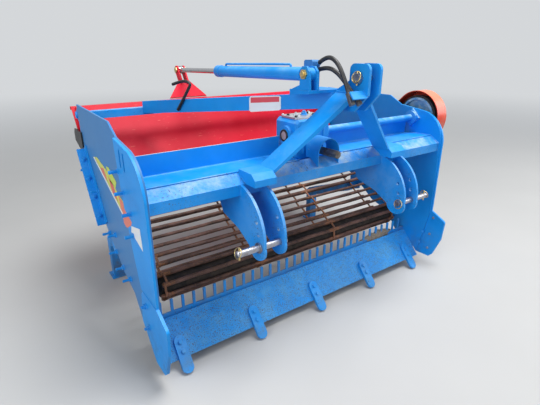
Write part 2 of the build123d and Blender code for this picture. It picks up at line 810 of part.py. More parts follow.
rod_spots = [on_web((step + 0.5) * web_loop / rod_count) for step in range(rod_count)]
chain_x = [(web_half - chain_in) * (2 * step / (chain_count - 1) - 1) for step in range(chain_count)]
with BuildPart() as sieve_web:
    for x in chain_x:
        with BuildSketch(side(x - chain_w / 2)):
            for here, there in zip(rod_spots, rod_spots[1:] + rod_spots[:1]):
                lean = degrees(atan2(there[1] - here[1], there[0] - here[0]))
                with Locations(Location(((here[0] + there[0]) / 2, (here[1] + there[1]) / 2, 0), lean)):
                    Rectangle(hypot(there[0] - here[0], there[1] - here[1]), link_bar_h)
                with Locations(Location((here[0], here[1], 0), lean)):
                    RegularPolygon(link_eye_r, 4)
        extrude(amount=chain_w)
    with BuildSketch(side(-web_half)):
        for number, place in enumerate(rod_spots):
            with Locations(place):
                RegularPolygon(tie_r if number % tie_every == 0 else rod_r, 6)
    extrude(amount=2 * web_half)
keep(sieve_web, "sieve_web")

# Drums that carry the web, the rear one driven through the right-hand plate
drum_r = web_r - link_eye_r - drum_gap
drive_out = pulley_x + pulley_w + 6
for name, y, z, right_end in (("front", web_y, web_z, in_half), ("rear", rear_y, rear_z, drive_out)):
    with BuildPart() as drum:
        with BuildSketch(side(-web_half + 8)):
            with Locations((y, z)):
                Circle(drum_r)
        extrude(amount=2 * web_half - 16)
        with BuildSketch(side(-in_half)):
            with Locations((y, z)):
                Circle(drum_shaft_r)
        extrude(amount=right_end + in_half)
    keep(drum, f"web_drum_{name}")

# Skirts: sloping sheets inside the plates that keep the load on the web
for name, sign in SIDES:
    with BuildPart() as skirt:
        start = (datum_x, datum_y + web_y - web_r * slope_z, web_z + web_r * slope_y)
        with BuildSketch(Plane(origin=start, x_dir=(1, 0, 0), z_dir=(0, -slope_y, -slope_z))) as skirt_face:
            low = link_eye_r + 6
            Polygon(
                (sign * in_half, skirt_h), (sign * in_half, skirt_h - 8),
                (sign * (in_half - skirt_in + skirt_t), low), (sign * (in_half - skirt_in), low),
                (sign * (in_half - skirt_in), low + 8), align=None,
            )
        extrude(amount=-(web_length - 40))
    keep(skirt, f"skirt_{name}")

# Flange bearings on the inner faces of the side plates, for the web's drums and the cross shaft
with BuildPart() as bearings:
    for sign, y, z, bore in (
        (-1, web_y, web_z, drum_shaft_r), (1, web_y, web_z, drum_shaft_r), (-1, rear_y, rear_z, drum_shaft_r),
        (1, rear_y, rear_z, drum_shaft_r), (1, cross_y, cross_z, cross_r),
    ):
        for radius, edges, thick in ((bearing_r, 4, bearing_t / 2), (bearing_r - 14, 16, bearing_t)):
            with BuildSketch(side(from_inner(sign, in_half, thick))):
                with Locations((y, z)):
                    RegularPolygon(radius, edges)
                    Circle(bore + running, mode=Mode.SUBTRACT)
            extrude(amount=thick)
keep(bearings, "bearings")

# Gearbox shelf: a plate behind the beam on two gussets
with BuildPart() as gear_shelf:
    shelf_y = beam_depth + seat
    with BuildSketch(level(gear_z0 - shelf_t - seat)):
        with Locations(((gear_x0 + gear_x1) / 2, (shelf_y + gear_y1 + 14) / 2)):
            Rectangle(gear_x1 - gear_x0 + 56, gear_y1 + 14 - shelf_y)
    extrude(amount=shelf_t)
    for x in (gear_x0 + 6, gear_x1 - 14):
        with BuildSketch(side(x)):
            top_z = gear_z0 - shelf_t - seat
            Polygon(
                (shelf_y, top_z), (shelf_y, beam_low_z), (shelf_y + 16, beam_low_z),
                (gear_y1 - 10, top_z), align=None,
            )
        extrude(amount=8)
keep(gear_shelf, "gear_shelf")

# Gearbox: a cast two-stage housing with bearing hubs, foot flanges and a bright lid
with BuildPart() as gearbox:
    with BuildSketch(front(gear_y1)) as gear_face:
        with Locations(((gear_x0 + gear_x1) / 2, (gear_z0 + gear_z1) / 2)):
            Rectangle(gear_x1 - gear_x0, gear_z1 - gear_z0)
        chamfer(gear_face.vertices(), gear_edge)
    extrude(amount=gear_y1 - gear_y0)
    chamfer(gearbox.faces().sort_by(Axis.Y)[0].edges(), gear_edge / 2)
    with BuildSketch(level(gear_z0)):
        with Locations(((gear_x0 + gear_x1) / 2, (gear_y0 + gear_y1) / 2)):
            Rectangle(gear_x1 - gear_x0 + 2 * gear_foot, gear_y1 - gear_y0 - gear_foot)
    extrude(amount=14)
    for x in (gear_x0 + 40, gear_x0 + 100, gear_x1 - 40):
        with BuildSketch(side(x - 4)):
            with Locations(((gear_y0 + gear_y1) / 2, (gear_z0 + gear_z1) / 2)):
                Rectangle(gear_y1 - gear_y0 + 12, gear_z1 - gear_z0 - 60)
        extrude(amount=8)
    with BuildSketch(side(gear_x0 - 18)):
        with Locations((cross_y, cross_z)):
            Circle(hub_r)
    extrude(amount=gear_x1 - gear_x0 + 38)
    with BuildSketch(front(gear_y0 - 28)):
        with Locations((0, pto_z)):
            Circle(hub_r - 8)
    extrude(amount=-40)
    with BuildSketch(side(gear_x0 - 8)):
        with Locations((cross_y, cross_z)):
            Circle(cross_r + running)
    extrude(amount=gear_x1 - gear_x0 + 40, mode=Mode.SUBTRACT)
    with BuildSketch(front(gear_y0 - 30)):
        with Locations((0, pto_z)):
            Circle(pto_r + running)
    extrude(amount=-70, mode=Mode.SUBTRACT)
keep(gearbox, "gearbox")

with BuildPart() as gear_lid:
    with BuildSketch(level(gear_z1 + seat)) as lid_face:
        with Locations(((gear_x0 + gear_x1) / 2, (gear_y0 + gear_y1) / 2)):
            Rectangle(gear_x1 - gear_x0 - 24, gear_y1 - gear_y0 - 16)
        chamfer(lid_face.vertices(), gear_edge)
    extrude(amount=gear_lid_t)
    with BuildSketch(level(gear_z1 + seat + gear_lid_t)):
        with Locations((gear_x0 + 60, (gear_y0 + gear_y1) / 2)):
            RegularPolygon(16, 6)
    extrude(amount=9)
keep(gear_lid, "gear_lid")

# Input shaft: a six-splined stub that takes the tractor's drive shaft
spline_n = 6
with BuildPart() as pto_shaft:
    with BuildSketch(front(gear_y0 + 38)):
        with Locations((0, pto_z)):
            Circle(pto_r)
    extrude(amount=gear_y0 + 38 - pto_y)
    chamfer(pto_shaft.faces().sort_by(Axis.Y)[0].edges(), 2)
    with BuildSketch(front(pto_y - 1)):
        with Locations((0, pto_z)):
            with PolarLocations(pto_r, spline_n):
                Rectangle(5.4, 8.6)
    extrude(amount=-76, mode=Mode.SUBTRACT)
keep(pto_shaft, "pto_shaft")

# Shield: an arch over the input shaft, standing on the beam's slope
with BuildPart() as pto_shield:
    with BuildSketch(front(4)):
        with Locations((0, pto_z)):
            Circle(shield_r)
            Circle(shield_r - shield_t, mode=Mode.SUBTRACT)
            with Locations((0, -shield_r - 2)):
                Rectangle(2 * shield_r + 12, 2 * shield_r + 4, mode=Mode.SUBTRACT)
        for x in (-shield_r + shield_t / 2, shield_r - shield_t / 2):
            with Locations((x, (pto_z + lip_z) / 2)):
                Rectangle(shield_t, pto_z - lip_z)
    extrude(amount=-(gear_y0 - 40))
    with BuildSketch(side(-shield_r - 6)):
        Polygon(
            (0, lip_z - 10), (0, lip_z + 2.8), (beam_depth, beam_top_z + seat), (gear_y0, beam_top_z + seat),
            (gear_y0, lip_z - 10), align=None,
        )
    extrude(amount=2 * shield_r + 12, mode=Mode.SUBTRACT)
keep(pto_shield, "pto_shield")

# Cross shaft and its pulley outside the right-hand plate
with BuildPart() as cross_shaft:
    with BuildSketch(side(gear_x0 - 6)):
        with Locations((cross_y, cross_z)):
            Circle(cross_r)
    extrude(amount=drive_out - gear_x0 + 6)
keep(cross_shaft, "cross_shaft")

for label, y, z, radius, bore, dish in (
    ("drive_pulley", cross_y, cross_z, pulley_r, cross_r, 18),
    ("driven_pulley", rear_y, rear_z, drive_r, drum_shaft_r, 0),
):
    with BuildPart() as pulley:
        with BuildSketch(side(pulley_x)):
            with Locations((y, z)):
                Circle(radius)
        extrude(amount=pulley_w)
        if dish:
            with BuildSketch(side(pulley_x)):
                with Locations((y, z)):
                    Circle(radius - 12)
                    Circle(bore + 14, mode=Mode.SUBTRACT)
            extrude(amount=dish, mode=Mode.SUBTRACT)
        with BuildSketch(side(pulley_x - 1)):
            with Locations((y, z)):
                Circle(bore)
        extrude(amount=pulley_w + 2, mode=Mode.SUBTRACT)
    keep(pulley, label)

# Drive belt: a closed loop round both pulleys
with BuildPart() as drive_belt:
    for grow, mode in ((belt_t, Mode.ADD), (0, Mode.SUBTRACT)):
        with BuildSketch(side(pulley_x + (pulley_w - belt_w) / 2)):
            with Locations((cross_y, cross_z)):
                Circle(pulley_r + seat + grow)
            with Locations((rear_y, rear_z)):
                Circle(drive_r + seat + grow)
            make_hull()
        extrude(amount=belt_w, mode=mode)
keep(drive_belt, "drive_belt")

# Belt guard: a deep cover over both pulleys, open towards the plate, on stand-off sleeves
with BuildPart() as belt_guard:
    for wide, shrink, mode in ((guard_w, 0, Mode.ADD), (guard_w - guard_t, guard_t, Mode.SUBTRACT)):
        with BuildSketch(side(guard_x)):
            with Locations((cross_y, cross_z)):
                Circle(guard_r - shrink)
            with Locations((rear_y, rear_z)):
                Circle(guard_tail_r - shrink)
            make_hull()
        extrude(amount=wide, mode=mode)
    for y, z, face in (
        (cross_y - 0.7 * guard_r, cross_z - 0.7 * guard_r, out_x + doubler_t + 2 * seat),
        (rear_y - 0.66 * guard_tail_r, rear_z - 0.73 * guard_tail_r, out_x + seat),
    ):
        with BuildSketch(side(face)):
            with Locations((y, z)):
                RegularPolygon(9, 6)
        extrude(amount=guard_x + 10 - face)
keep(belt_guard, "belt_guard")

# Edge rails: angle bars bolted outside the side plates near the bin
for name, sign in SIDES:
    with BuildPart() as edge_rail:
        foot = Vector(*rail_foot[name])
        head = Vector(*rail_head)
        along = (head - foot).normalized()
        across = Vector(along.Y, -along.X)
        edge = across * (rail_w / 2)
        for near, reach in ((-rail_w / 2, rail_t), (rail_w / 2 - rail_t, rail_reach[name] - seat)):
            with BuildSketch(side(sign * (out_x + seat))):
                corners = (foot + across * near, head + across * near, head + edge, foot + edge)
                Polygon(*[(corner.X, corner.Y) for corner in corners], align=None)
            extrude(amount=sign * reach)
    keep(edge_rail, f"edge_rail_{name}")

# Gate stops: plates that reach back past the rear edges
for name, sign in SIDES:
    with BuildPart() as gate_stop:
        with BuildSketch(side(sign * (out_x + seat))):
            Polygon(
                (plate_rear_y - 34, plate_rear_z + 30), (plate_rear_y - 34, plate_rear_z + 105),
                (stop_y - 20, plate_rear_z + 105), (stop_y, plate_rear_z + 80), (stop_y, plate_rear_z + 40),
                (plate_rear_y + 20, plate_rear_z + 8), align=None,
            )
        extrude(amount=sign * stop_t)
    keep(gate_stop, f"gate_stop_{name}")

# Rear stands: bent tubes from the plates' lower edges back to pads on the ground
for name, sign in SIDES:
    with BuildPart() as stand:
        tube_out = in_half - stand_tube
        with BuildSketch(side(from_inner(sign, tube_out, stand_w))):
            Polygon(
                stand_root, (stand_y - stand_tube / 2, stand_bend_z - 18), (stand_y - stand_tube / 2, foot_t),
                (stand_y + stand_tube / 2, foot_t), (stand_y + stand_tube / 2, stand_bend_z + 14),
                (stand_y, stand_bend_z + 36), stand_top, align=None,
            )
        extrude(amount=stand_w)
        with BuildSketch(level(0)):
            with Locations((sign * (tube_out - stand_w / 2), stand_y)):
                Rectangle(stand_pad, stand_pad)
        extrude(amount=foot_t)
        with BuildSketch(side(from_inner(sign, in_half, stand_tube))):
            Polygon(*stand_stub, align=None)
        extrude(amount=stand_tube)
        with BuildSketch(side(from_inner(sign, in_half, plate_t))):
            Polygon(*stand_plate, align=None)
        extrude(amount=plate_t)
    keep(stand, f"stand_{name}")


# Hoses: free loops from the port block to the couplers behind the mast, as straight runs joined by arcs
def bent_route(points):
    """Straight runs through chosen points, with an arc at each turn as large as its shorter run allows."""
    places = [Vector(*spot(*point)) for point in points]
    pieces = []
    start = places[0]
    for before, corner, after in zip(places, places[1:], places[2:]):
        arriving = (corner - before).normalized()
        leaving = (after - corner).normalized()
        cut = 0.45 * min((corner - before).length, (after - corner).length)
        turn_in = corner - arriving * cut
        turn_out = corner + leaving * cut
        pieces.append(Line(start, turn_in, mode=Mode.PRIVATE))
        pieces.append(TangentArc(turn_in, turn_out, tangent=arriving, mode=Mode.PRIVATE))
        start = turn_out
    pieces.append(Line(start, places[-1], mode=Mode.PRIVATE))
    return Wire(pieces)


for name, points in hose_points.items():
    route = bent_route(points)
    with BuildPart() as hose:
        with BuildSketch(Plane(origin=route @ 0, z_dir=route % 0)):
            RegularPolygon(hose_r, 8)
        sweep(path=route)
    keep(hose, f"hose_{name}")

# Latch rod: a bent round bar in front of the top beam
latch_path = FilletPolyline(*[spot(*point) for point in latch_route], radius=latch_bend, mode=Mode.PRIVATE)
with BuildPart() as latch_rod:
    with BuildSketch(Plane(origin=latch_path @ 0, z_dir=latch_path % 0)):
        RegularPolygon(latch_r, 12)
    sweep(path=latch_path)
keep(latch_rod, "latch_rod")
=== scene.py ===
import bpy
import bmesh
import math
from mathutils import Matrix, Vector, noise


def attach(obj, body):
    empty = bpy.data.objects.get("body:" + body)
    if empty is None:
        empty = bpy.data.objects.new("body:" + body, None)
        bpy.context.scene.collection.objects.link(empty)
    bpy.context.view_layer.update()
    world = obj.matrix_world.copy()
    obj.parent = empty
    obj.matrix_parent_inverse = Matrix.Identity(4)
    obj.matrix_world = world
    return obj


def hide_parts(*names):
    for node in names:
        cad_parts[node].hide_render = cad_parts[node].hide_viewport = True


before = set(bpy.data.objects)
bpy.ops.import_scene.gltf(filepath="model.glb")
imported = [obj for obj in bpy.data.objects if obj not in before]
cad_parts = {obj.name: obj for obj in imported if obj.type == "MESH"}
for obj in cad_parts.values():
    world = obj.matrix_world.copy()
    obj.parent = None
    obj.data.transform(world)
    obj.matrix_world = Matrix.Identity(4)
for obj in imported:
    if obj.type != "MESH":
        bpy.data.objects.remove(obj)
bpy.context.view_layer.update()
scene = bpy.context.scene
scene.view_settings.view_transform = "Standard"

# The view. The camera stands off the machine's left front corner, a little above the mast, and looks down
# at it. Places in millimetres are measured from the machine's middle, the beam's front edge and the ground.
datum = Vector((-0.0275, -0.5225, 0.0))


def at(x, y, z):
    """A place in the machine, in metres, from millimetres across, back and up from the datum."""
    return datum + Vector((x, y, z)) / 1000


camera = bpy.data.objects.new("corner_view", bpy.data.cameras.new("corner_view"))
camera.data.sensor_width = 36
camera.data.lens = 26.87
camera.location = at(-1240.0, -1290.0, 1274.9)
camera.rotation_euler = (math.radians(90 - 20.93), math.radians(-0.07), math.radians(-35.24))
scene.collection.objects.link(camera)
scene.camera = camera


# Hydraulic hoses. Two black rubber hoses loop from the port block beside the cylinder to the couplers behind
# the mast. Each is one smooth line through the bends where the hose hangs of its own weight.
class Wire:
    """A node's output, so that sums written on it add the nodes that work them out."""

    def __init__(self, graph, output):
        self.graph = graph
        self.output = output

    def maths(self, operation, *values):
        return self.graph.node("ShaderNodeMath", {"operation": operation}, *values)

    def __add__(self, other):
        return self.maths("ADD", self, other)

    def __sub__(self, other):
        return self.maths("SUBTRACT", self, other)

    def __mul__(self, other):
        return self.maths("MULTIPLY", self, other)

    def __truediv__(self, other):
        return self.maths("DIVIDE", self, other)

    def __rsub__(self, other):
        return self.maths("SUBTRACT", other, self)

    __radd__ = __add__
    __rmul__ = __mul__

    def most(self, other):
        return self.maths("MAXIMUM", self, other)

    def wave(self):
        return self.maths("SINE", self)

    def size(self):
        return self.maths("ABSOLUTE", self)

    def above(self, low, high):
        """0 under the low edge, 1 over the high one, and smooth between them."""
        settings = {"interpolation_type": "SMOOTHSTEP", "clamp": True}
        return self.graph.node("ShaderNodeMapRange", settings, self, low, high, 0.0, 1.0)


class Graph:
    """A node tree whose nodes all come from one method."""

    def __init__(self, tree):
        self.tree = tree

    def node(self, kind, settings=None, *values, output=0, ports=None):
        """Adds a node, sets or joins its inputs by place or by name, and returns one of its outputs."""
        made = self.tree.nodes.new(kind)
        for key, value in (settings or {}).items():
            setattr(made, key, value)
        for key, value in [*enumerate(values), *(ports or {}).items()]:
            for single in value if isinstance(value, list) else [value]:
                if isinstance(single, Wire):
                    self.tree.links.new(single.output, made.inputs[key])
                elif single is not None:
                    made.inputs[key].default_value = single
        return Wire(self, made.outputs[output]) if len(made.outputs) else None


edge_ease = 0.0012
rubbed_width = 0.003


class Finish(Graph):
    """A material: its patterns are placed by the object's own coordinates."""

    def __init__(self, name):
        self.material = bpy.data.materials.new(name)
        self.material.use_nodes = True
        super().__init__(self.material.node_tree)
        self.tree.nodes.clear()
        self.place = self.node("ShaderNodeTexCoord", output="Object")
        self.lean = self.node("ShaderNodeTexCoord", output="Normal")

    def split(self, vector):
        """The three parts of a place or a direction: across, back and up."""
        parts = self.node("ShaderNodeSeparateXYZ", None, vector)
        return [Wire(self, output) for output in parts.output.node.outputs]

    def noise(self, scale, detail=3.0, rough=0.55, stretch=(1.0, 1.0, 1.0), shift=(0.0, 0.0, 0.0)):
        place = self.node("ShaderNodeMapping", None, self.place, ports={"Location": shift, "Scale": stretch})
        ports = {"Vector": place, "Scale": scale, "Detail": detail, "Roughness": rough}
        return self.node("ShaderNodeTexNoise", None, ports=ports)

    def tint(self, share, below, over):
        """A colour between two others, by a share from 0 to 1."""
        mixed = self.node("ShaderNodeMix", {"data_type": "RGBA", "clamp_factor": True}, share)
        for entry, value in ((6, below), (7, over)):
            if isinstance(value, Wire):
                self.tree.links.new(value.output, mixed.output.node.inputs[entry])
            else:
                mixed.output.node.inputs[entry].default_value = (*value, 1.0)
        return Wire(self, mixed.output.node.outputs[2])

    def rounded(self, radius):
        """The surface's direction with its sharp edges eased over a radius."""
        return self.node("ShaderNodeBevel", {"samples": 4}, ports={"Radius": radius})

    def rub(self):
        """1 on the sharp edges and 0 on the flats."""
        flat = self.node("ShaderNodeNewGeometry", output="Normal")
        eased = self.rounded(rubbed_width)
        along = self.node("ShaderNodeVectorMath", {"operation": "DOT_PRODUCT"}, eased, flat, output=1)
        return (1 - along).above(0.02, 0.12)

    def close(self, color, rough, metal=0.0, relief=None, depth=0.001, coat=0.0, specular=0.5):
        """Joins the colour, gloss and relief to the surface and returns the finished material."""
        normal = self.rounded(edge_ease)
        if relief is not None:
            ports = {"Height": relief, "Distance": depth, "Strength": 1.0, "Normal": normal}
            normal = self.node("ShaderNodeBump", None, ports=ports)
        ports = {"Roughness": rough, "Metallic": metal, "Coat Weight": coat, "Specular IOR Level": specular}
        ports["Normal"] = normal
        ports["Base Color"] = color if isinstance(color, Wire) else (*color, 1.0)
        surface = self.node("ShaderNodeBsdfPrincipled", None, ports=ports)
        self.node("ShaderNodeOutputMaterial", None, surface)
        return self.material


hose = Finish("braided_hose_rubber")
hose_dust = hose.noise(28).above(0.42, 0.75) * 0.5
hose_tone = hose.tint(hose_dust, (0.012, 0.012, 0.014), (0.07, 0.066, 0.06))
hose_rubber = hose.close(hose_tone, 0.42 + hose_dust * 0.35, relief=hose.noise(900, 1), depth=0.0002)
hose_radius = 0.0085
lower_route = ((-97, -14, 1196), (-94, -62, 1208), (-84, -110, 1186), (-72, -152, 1142), (-66, -178, 1112))
upper_route = ((-97, -14, 1222), (-98, -58, 1248), (-97, -110, 1232), (-95, -150, 1180), (-94, -182, 1118))
for name, length, points in (("hose_lower", 0.2021, lower_route), ("hose_upper", 0.2348, upper_route)):
    line = bpy.data.curves.new(name + "_rubber", "CURVE")
    line.dimensions = "3D"
    line.bevel_depth = hose_radius
    line.bevel_resolution = 5
    line.resolution_u = 16
    line.use_fill_caps = True
    route = line.splines.new("NURBS")
    route.points.add(len(points) - 1)
    for knot, point in zip(route.points, points):
        knot.co = (*at(*point), 1.0)
    route.order_u = 3
    route.use_endpoint_u = True
    line.materials.append(hose_rubber)
    hose_loop = bpy.data.objects.new(name + "_rubber", line)
    scene.collection.objects.link(hose_loop)
    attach(hose_loop, "frame")
    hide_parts(name)


# The floor and the light. A pale floor that fades into a pale sky, with one broad soft lamp high above the
# front and a weaker one on each side, as on an overcast day.
def plain_mesh(name, places, faces, material, body="frame"):
    """A mesh piece from its corners and faces, in metres, riding on a body unless it is only part of the stage."""
    mesh = bpy.data.meshes.new(name)
    mesh.from_pydata([tuple(place) for place in places], [], faces)
    mesh.materials.append(material)
    mesh.update()
    piece = bpy.data.objects.new(name, mesh)
    scene.collection.objects.link(piece)
    if body:
        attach(piece, body)
    return piece


ground = Finish("studio_floor")
ground_tone = ground.tint(ground.noise(1.6, 4) * 0.5, (0.46, 0.46, 0.455), (0.54, 0.54, 0.53))
ground_reach = ground.node("ShaderNodeVectorMath", {"operation": "LENGTH"}, ground.place, output=1)
ground_tone = ground.tint(ground_reach.above(2.0, 9.0), ground_tone, (0.97, 0.97, 0.97))
ground_face = ground.node("ShaderNodeBsdfPrincipled", None, ports={"Base Color": ground_tone, "Roughness": 0.85})
haze_tone = (0.66, 0.68, 0.7, 1.0)
far_haze = ground.node("ShaderNodeEmission", None, haze_tone, 1.0)
in_view = ground.node("ShaderNodeLightPath", output="Is Camera Ray")
far_share = ground_reach.above(2.5, 13.0) * in_view
ground_look = ground.node("ShaderNodeMixShader", None, far_share, ground_face, far_haze)
ground.node("ShaderNodeOutputMaterial", None, ground_look)
floor_edge, floor_level = 60.0, -0.001
floor_corners = [(x * floor_edge, y * floor_edge, floor_level) for x, y in ((-1, -1), (1, -1), (1, 1), (-1, 1))]
floor = plain_mesh("studio_floor", floor_corners, [(0, 1, 2, 3)], ground.material, body=None)

sky = bpy.data.worlds.new("studio_sky")
sky.use_nodes = True
sky_graph = Graph(sky.node_tree)
sky.node_tree.nodes.clear()
looks = ("Is Camera Ray", "Is Glossy Ray", "Is Transmission Ray")
direct, mirrored, through = [sky_graph.node("ShaderNodeLightPath", output=kind) for kind in looks]
fill = sky_graph.node("ShaderNodeBackground", None, (0.88, 0.94, 1.0, 1.0), 0.34)
backdrop = sky_graph.node("ShaderNodeBackground", None, haze_tone, 1.0)
seen = direct.most(mirrored).most(through)
sky_graph.node("ShaderNodeOutputWorld", None, sky_graph.node("ShaderNodeMixShader", None, seen, fill, backdrop))
scene.world = sky

lamp_size, lamp_aim = 2.6, Vector((0, 0, 0.5))
for name, place, power in (
    ("high_lamp", (0.6, -1.2, 5.2), 290.0),
    ("right_lamp", (3.8, -2.4, 2.4), 75.0),
    ("left_lamp", (-4.2, -1.8, 2.2), 95.0),
):
    lamp = bpy.data.objects.new(name, bpy.data.lights.new(name, "AREA"))
    lamp.data.energy = power
    lamp.data.size = lamp_size
    lamp.location = place
    lamp.rotation_euler = (lamp_aim - Vector(place)).to_track_quat("-Z", "Y").to_euler()
    scene.collection.objects.link(lamp)


# Welded frame. Cut and folded sheet steel in gloss azure paint: side plates, doublers, beam, mast, skirts and
# stands. The paint is dusty on top, with a painted highlight that makes upward faces a paler blue, freckled with rust
# where soil hits it, and scratched to pale primer; the left plate carries painted shade.
def azure(name, dust_and_sheen=0.3, freckles=0.2, scratches=0.3, mud=0.3, mud_top=0.25, seed=0.0,
          dust_and_sheen_tone=(0.24, 0.46, 0.6), spot_scale=170.0, painted_shade=0.0, edge_tone=(0.12, 0.42, 0.78)):
    """Azure paint: shares from about 0 to 1 say how much dust with a painted highlight on upward faces, rust
    freckles, scratches, mud and painted shade lie on it. Mud reaches up to a height in metres, and the seed moves the
    whole pattern along."""
    paint = Finish(name)
    shift = (seed, seed * 1.7, seed * 0.6)
    height = paint.split(paint.place)[2]
    upward = paint.split(paint.lean)[2]
    broad = paint.noise(2.2, 4, 0.6, shift=shift)
    patchy = paint.noise(11, 5, 0.65, shift=shift)
    fine = paint.noise(160, 3, 0.6, shift=shift)
    tone = paint.tint(broad.above(0.3, 0.7), (0.001, 0.225, 0.66), (0.004, 0.3, 0.82))
    tone = paint.tint(patchy.above(0.5, 0.8) * 0.3, tone, (0.008, 0.35, 0.8))
    # Scratches down to primer, lying and standing, and worn edges.
    lying = paint.noise(22, 2, 0.5, stretch=(1, 1, 18), shift=shift).above(0.71, 0.74)
    scored = paint.noise(26, 2, 0.5, stretch=(14, 14, 1), shift=shift).above(0.72, 0.75).most(lying)
    scored = scored * paint.noise(5, 2, shift=shift).above(0.45, 0.62) * scratches
    tone = paint.tint(scored, tone, (0.16, 0.42, 0.72))
    edges = paint.rub() * paint.noise(38, 4, 0.7, shift=shift).above(0.42, 0.6)
    tone = paint.tint(edges * 0.55, tone, edge_tone)
    # Dust with a painted highlight, a paler blue, on what faces up; painted shade, a darker grey-blue, over all of it
    # when asked for; and splashes of mud near the ground.
    film = (upward.above(0.1, 0.9) * 0.85 + 0.15) * paint.noise(7, 6, 0.7, shift=shift).above(0.35, 0.75) * dust_and_sheen
    tone = paint.tint(film, tone, dust_and_sheen_tone)
    # Painted shade: a darker grey-blue laid over the whole face, for a side that stands in shade.
    if painted_shade:
        tone = paint.tint(broad.above(0.1, 0.9) * 0.25 * painted_shade + painted_shade * 0.7, tone, (0.075, 0.125, 0.21))
    splash = (1 - height.above(mud_top * 0.35, mud_top)) * paint.noise(14, 6, 0.7, shift=shift).above(0.34, 0.7) * mud
    tone = paint.tint(splash, tone, (0.1, 0.09, 0.075))
    # Rust: small spots, larger chips, and a little on the worn edges.
    spots = paint.noise(spot_scale, 2, 0.6, shift=shift).above(0.7 - 0.14 * freckles, 0.73 - 0.14 * freckles)
    spots = spots * paint.noise(6, 4, 0.6, shift=shift).above(0.6 - 0.4 * freckles, 0.78 - 0.4 * freckles)
    chips = paint.noise(34, 5, 0.7, shift=shift).above(0.76 - 0.05 * freckles, 0.78 - 0.05 * freckles)
    rust = spots.most(chips * (0.3 + 0.7 * freckles))
    rust = rust.most(edges * paint.noise(90, 3, 0.6, shift=shift).above(0.6, 0.68) * (0.2 + freckles))
    tone = paint.tint(rust * 0.85, tone, paint.tint(fine, (0.03, 0.022, 0.02), (0.15, 0.06, 0.025)))
    rough = 0.4 + film * 0.35 + splash * 0.5 + rust * 0.45 + fine * 0.06
    relief = fine * 0.1 + broad * 0.3 - rust * 0.4 - scored * 0.3
    return paint.close(tone, rough, relief=relief, depth=0.0006, specular=0.3)


def dress(material, *nodes):
    """Gives the material to carried-over nodes."""
    for node in nodes:
        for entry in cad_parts[node].material_slots:
            entry.material = material


plate_paint = azure("plate_paint", dust_and_sheen=0.25, freckles=0.15, scratches=0.5, mud=0.35, mud_top=0.3)
# The beam's heavy pale film is part dust and part painted sun reflection on its top.
beam_paint = azure("beam_paint", dust_and_sheen=1.25, freckles=0.5, scratches=0.4, mud=0.0, seed=3.1,
                   dust_and_sheen_tone=(0.36, 0.5, 0.6))
mast_paint = azure("mast_paint", dust_and_sheen=0.3, freckles=0.16, scratches=0.6, mud=0.0, seed=5.7)
under_paint = azure("under_paint", dust_and_sheen=0.3, freckles=0.3, scratches=0.3, mud=0.7, mud_top=0.6, seed=8.3)
# The left plate and the port block get a shaded copy of the paint, darkened and greyed by painted shade.
weathered_paint = azure("weathered_paint", dust_and_sheen=0.35, freckles=0.15, scratches=0.6, mud=0.35, mud_top=0.3,
                        seed=1.9, painted_shade=0.62)
dress(plate_paint, "side_plate_right", "doubler_left", "doubler_right", "cheek_left", "cheek_right",
      "edge_rail_left", "edge_rail_right", "hinge_pins")
dress(weathered_paint, "side_plate_left", "port_block")
dress(beam_paint, "front_beam", "rear_bar", "link_bracket_left", "link_bracket_right")
dress(mast_paint, "mast_head", "mast_leg_left", "mast_leg_right", "ram_bracket", "gear_shelf", "pto_shield")
top_paint = azure("top_paint", dust_and_sheen=0.55, freckles=0.08, scratches=0.6, mud=0.0, seed=4.2,
                  dust_and_sheen_tone=(0.2, 0.5, 0.74))
dress(top_paint, "top_beam")
# The barrel's pale film is part dust and part painted highlight on its top.
ram_paint = azure("ram_paint", dust_and_sheen=0.8, freckles=0.05, scratches=0.7, mud=0.0, seed=9.2,
                  dust_and_sheen_tone=(0.24, 0.5, 0.7))
dress(ram_paint, "ram_barrel", "ram_pipe", "gearbox")
dress(under_paint, "skirt_left", "skirt_right", "stand_left", "stand_right")


# Apron. One folded blue sheet on each side of the gearbox: a shelf that runs back from the beam's top, and an
# upright wall behind the cross shaft that keeps soil off the gate. Its top edge is rubbed pale.
def tube_faces(base, rings, size):
    """Faces of a closed bar through rings of corners that follow each other in a list from a base, both ends shut."""
    faces = [(base + ring * size + side, base + ring * size + (side + 1) % size,
              base + (ring + 1) * size + (side + 1) % size, base + (ring + 1) * size + side)
             for ring in range(rings - 1) for side in range(size)]
    end = base + (rings - 1) * size
    return faces + [tuple(range(base, base + size)), tuple(range(end, end + size))]


def face_outwards(mesh):
    """Turns a closed mesh's faces outwards."""
    shaping = bmesh.new()
    shaping.from_mesh(mesh)
    bmesh.ops.recalc_face_normals(shaping, faces=shaping.faces)
    shaping.to_mesh(mesh)
    shaping.free()


apron_paint = azure("apron_paint", dust_and_sheen=0.28, freckles=0.06, scratches=0.4, mud=0.0, seed=6.4,
                    edge_tone=(0.86, 0.88, 0.88))
# The sheet's two faces, back and up: the shelf's two points come first, then the bend and the wall.
sheet_front = ((57, 811), (204, 805.8), (208.5, 806.6), (211.2, 809), (212, 812.5), (212, 893))
sheet_back = ((57, 806), (206, 800.6), (212, 801.4), (216, 805), (217, 810), (217, 893))
whole, shelf_only = len(sheet_front), 2
apron_rows, apron_faces = [], []
for first, last, points in ((-839.7, -126, whole), (140, 811, whole), (811, 839.7, shelf_only)):
    outline = sheet_front[:points] + sheet_back[:points][::-1]
    apron_faces += tube_faces(len(apron_rows), 2, len(outline))
    apron_rows += [at(x, y, z) for x in (first, last) for y, z in outline]
apron_piece = plain_mesh("apron_sheet", apron_rows, apron_faces, apron_paint)
face_outwards(apron_piece.data)
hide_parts("apron")


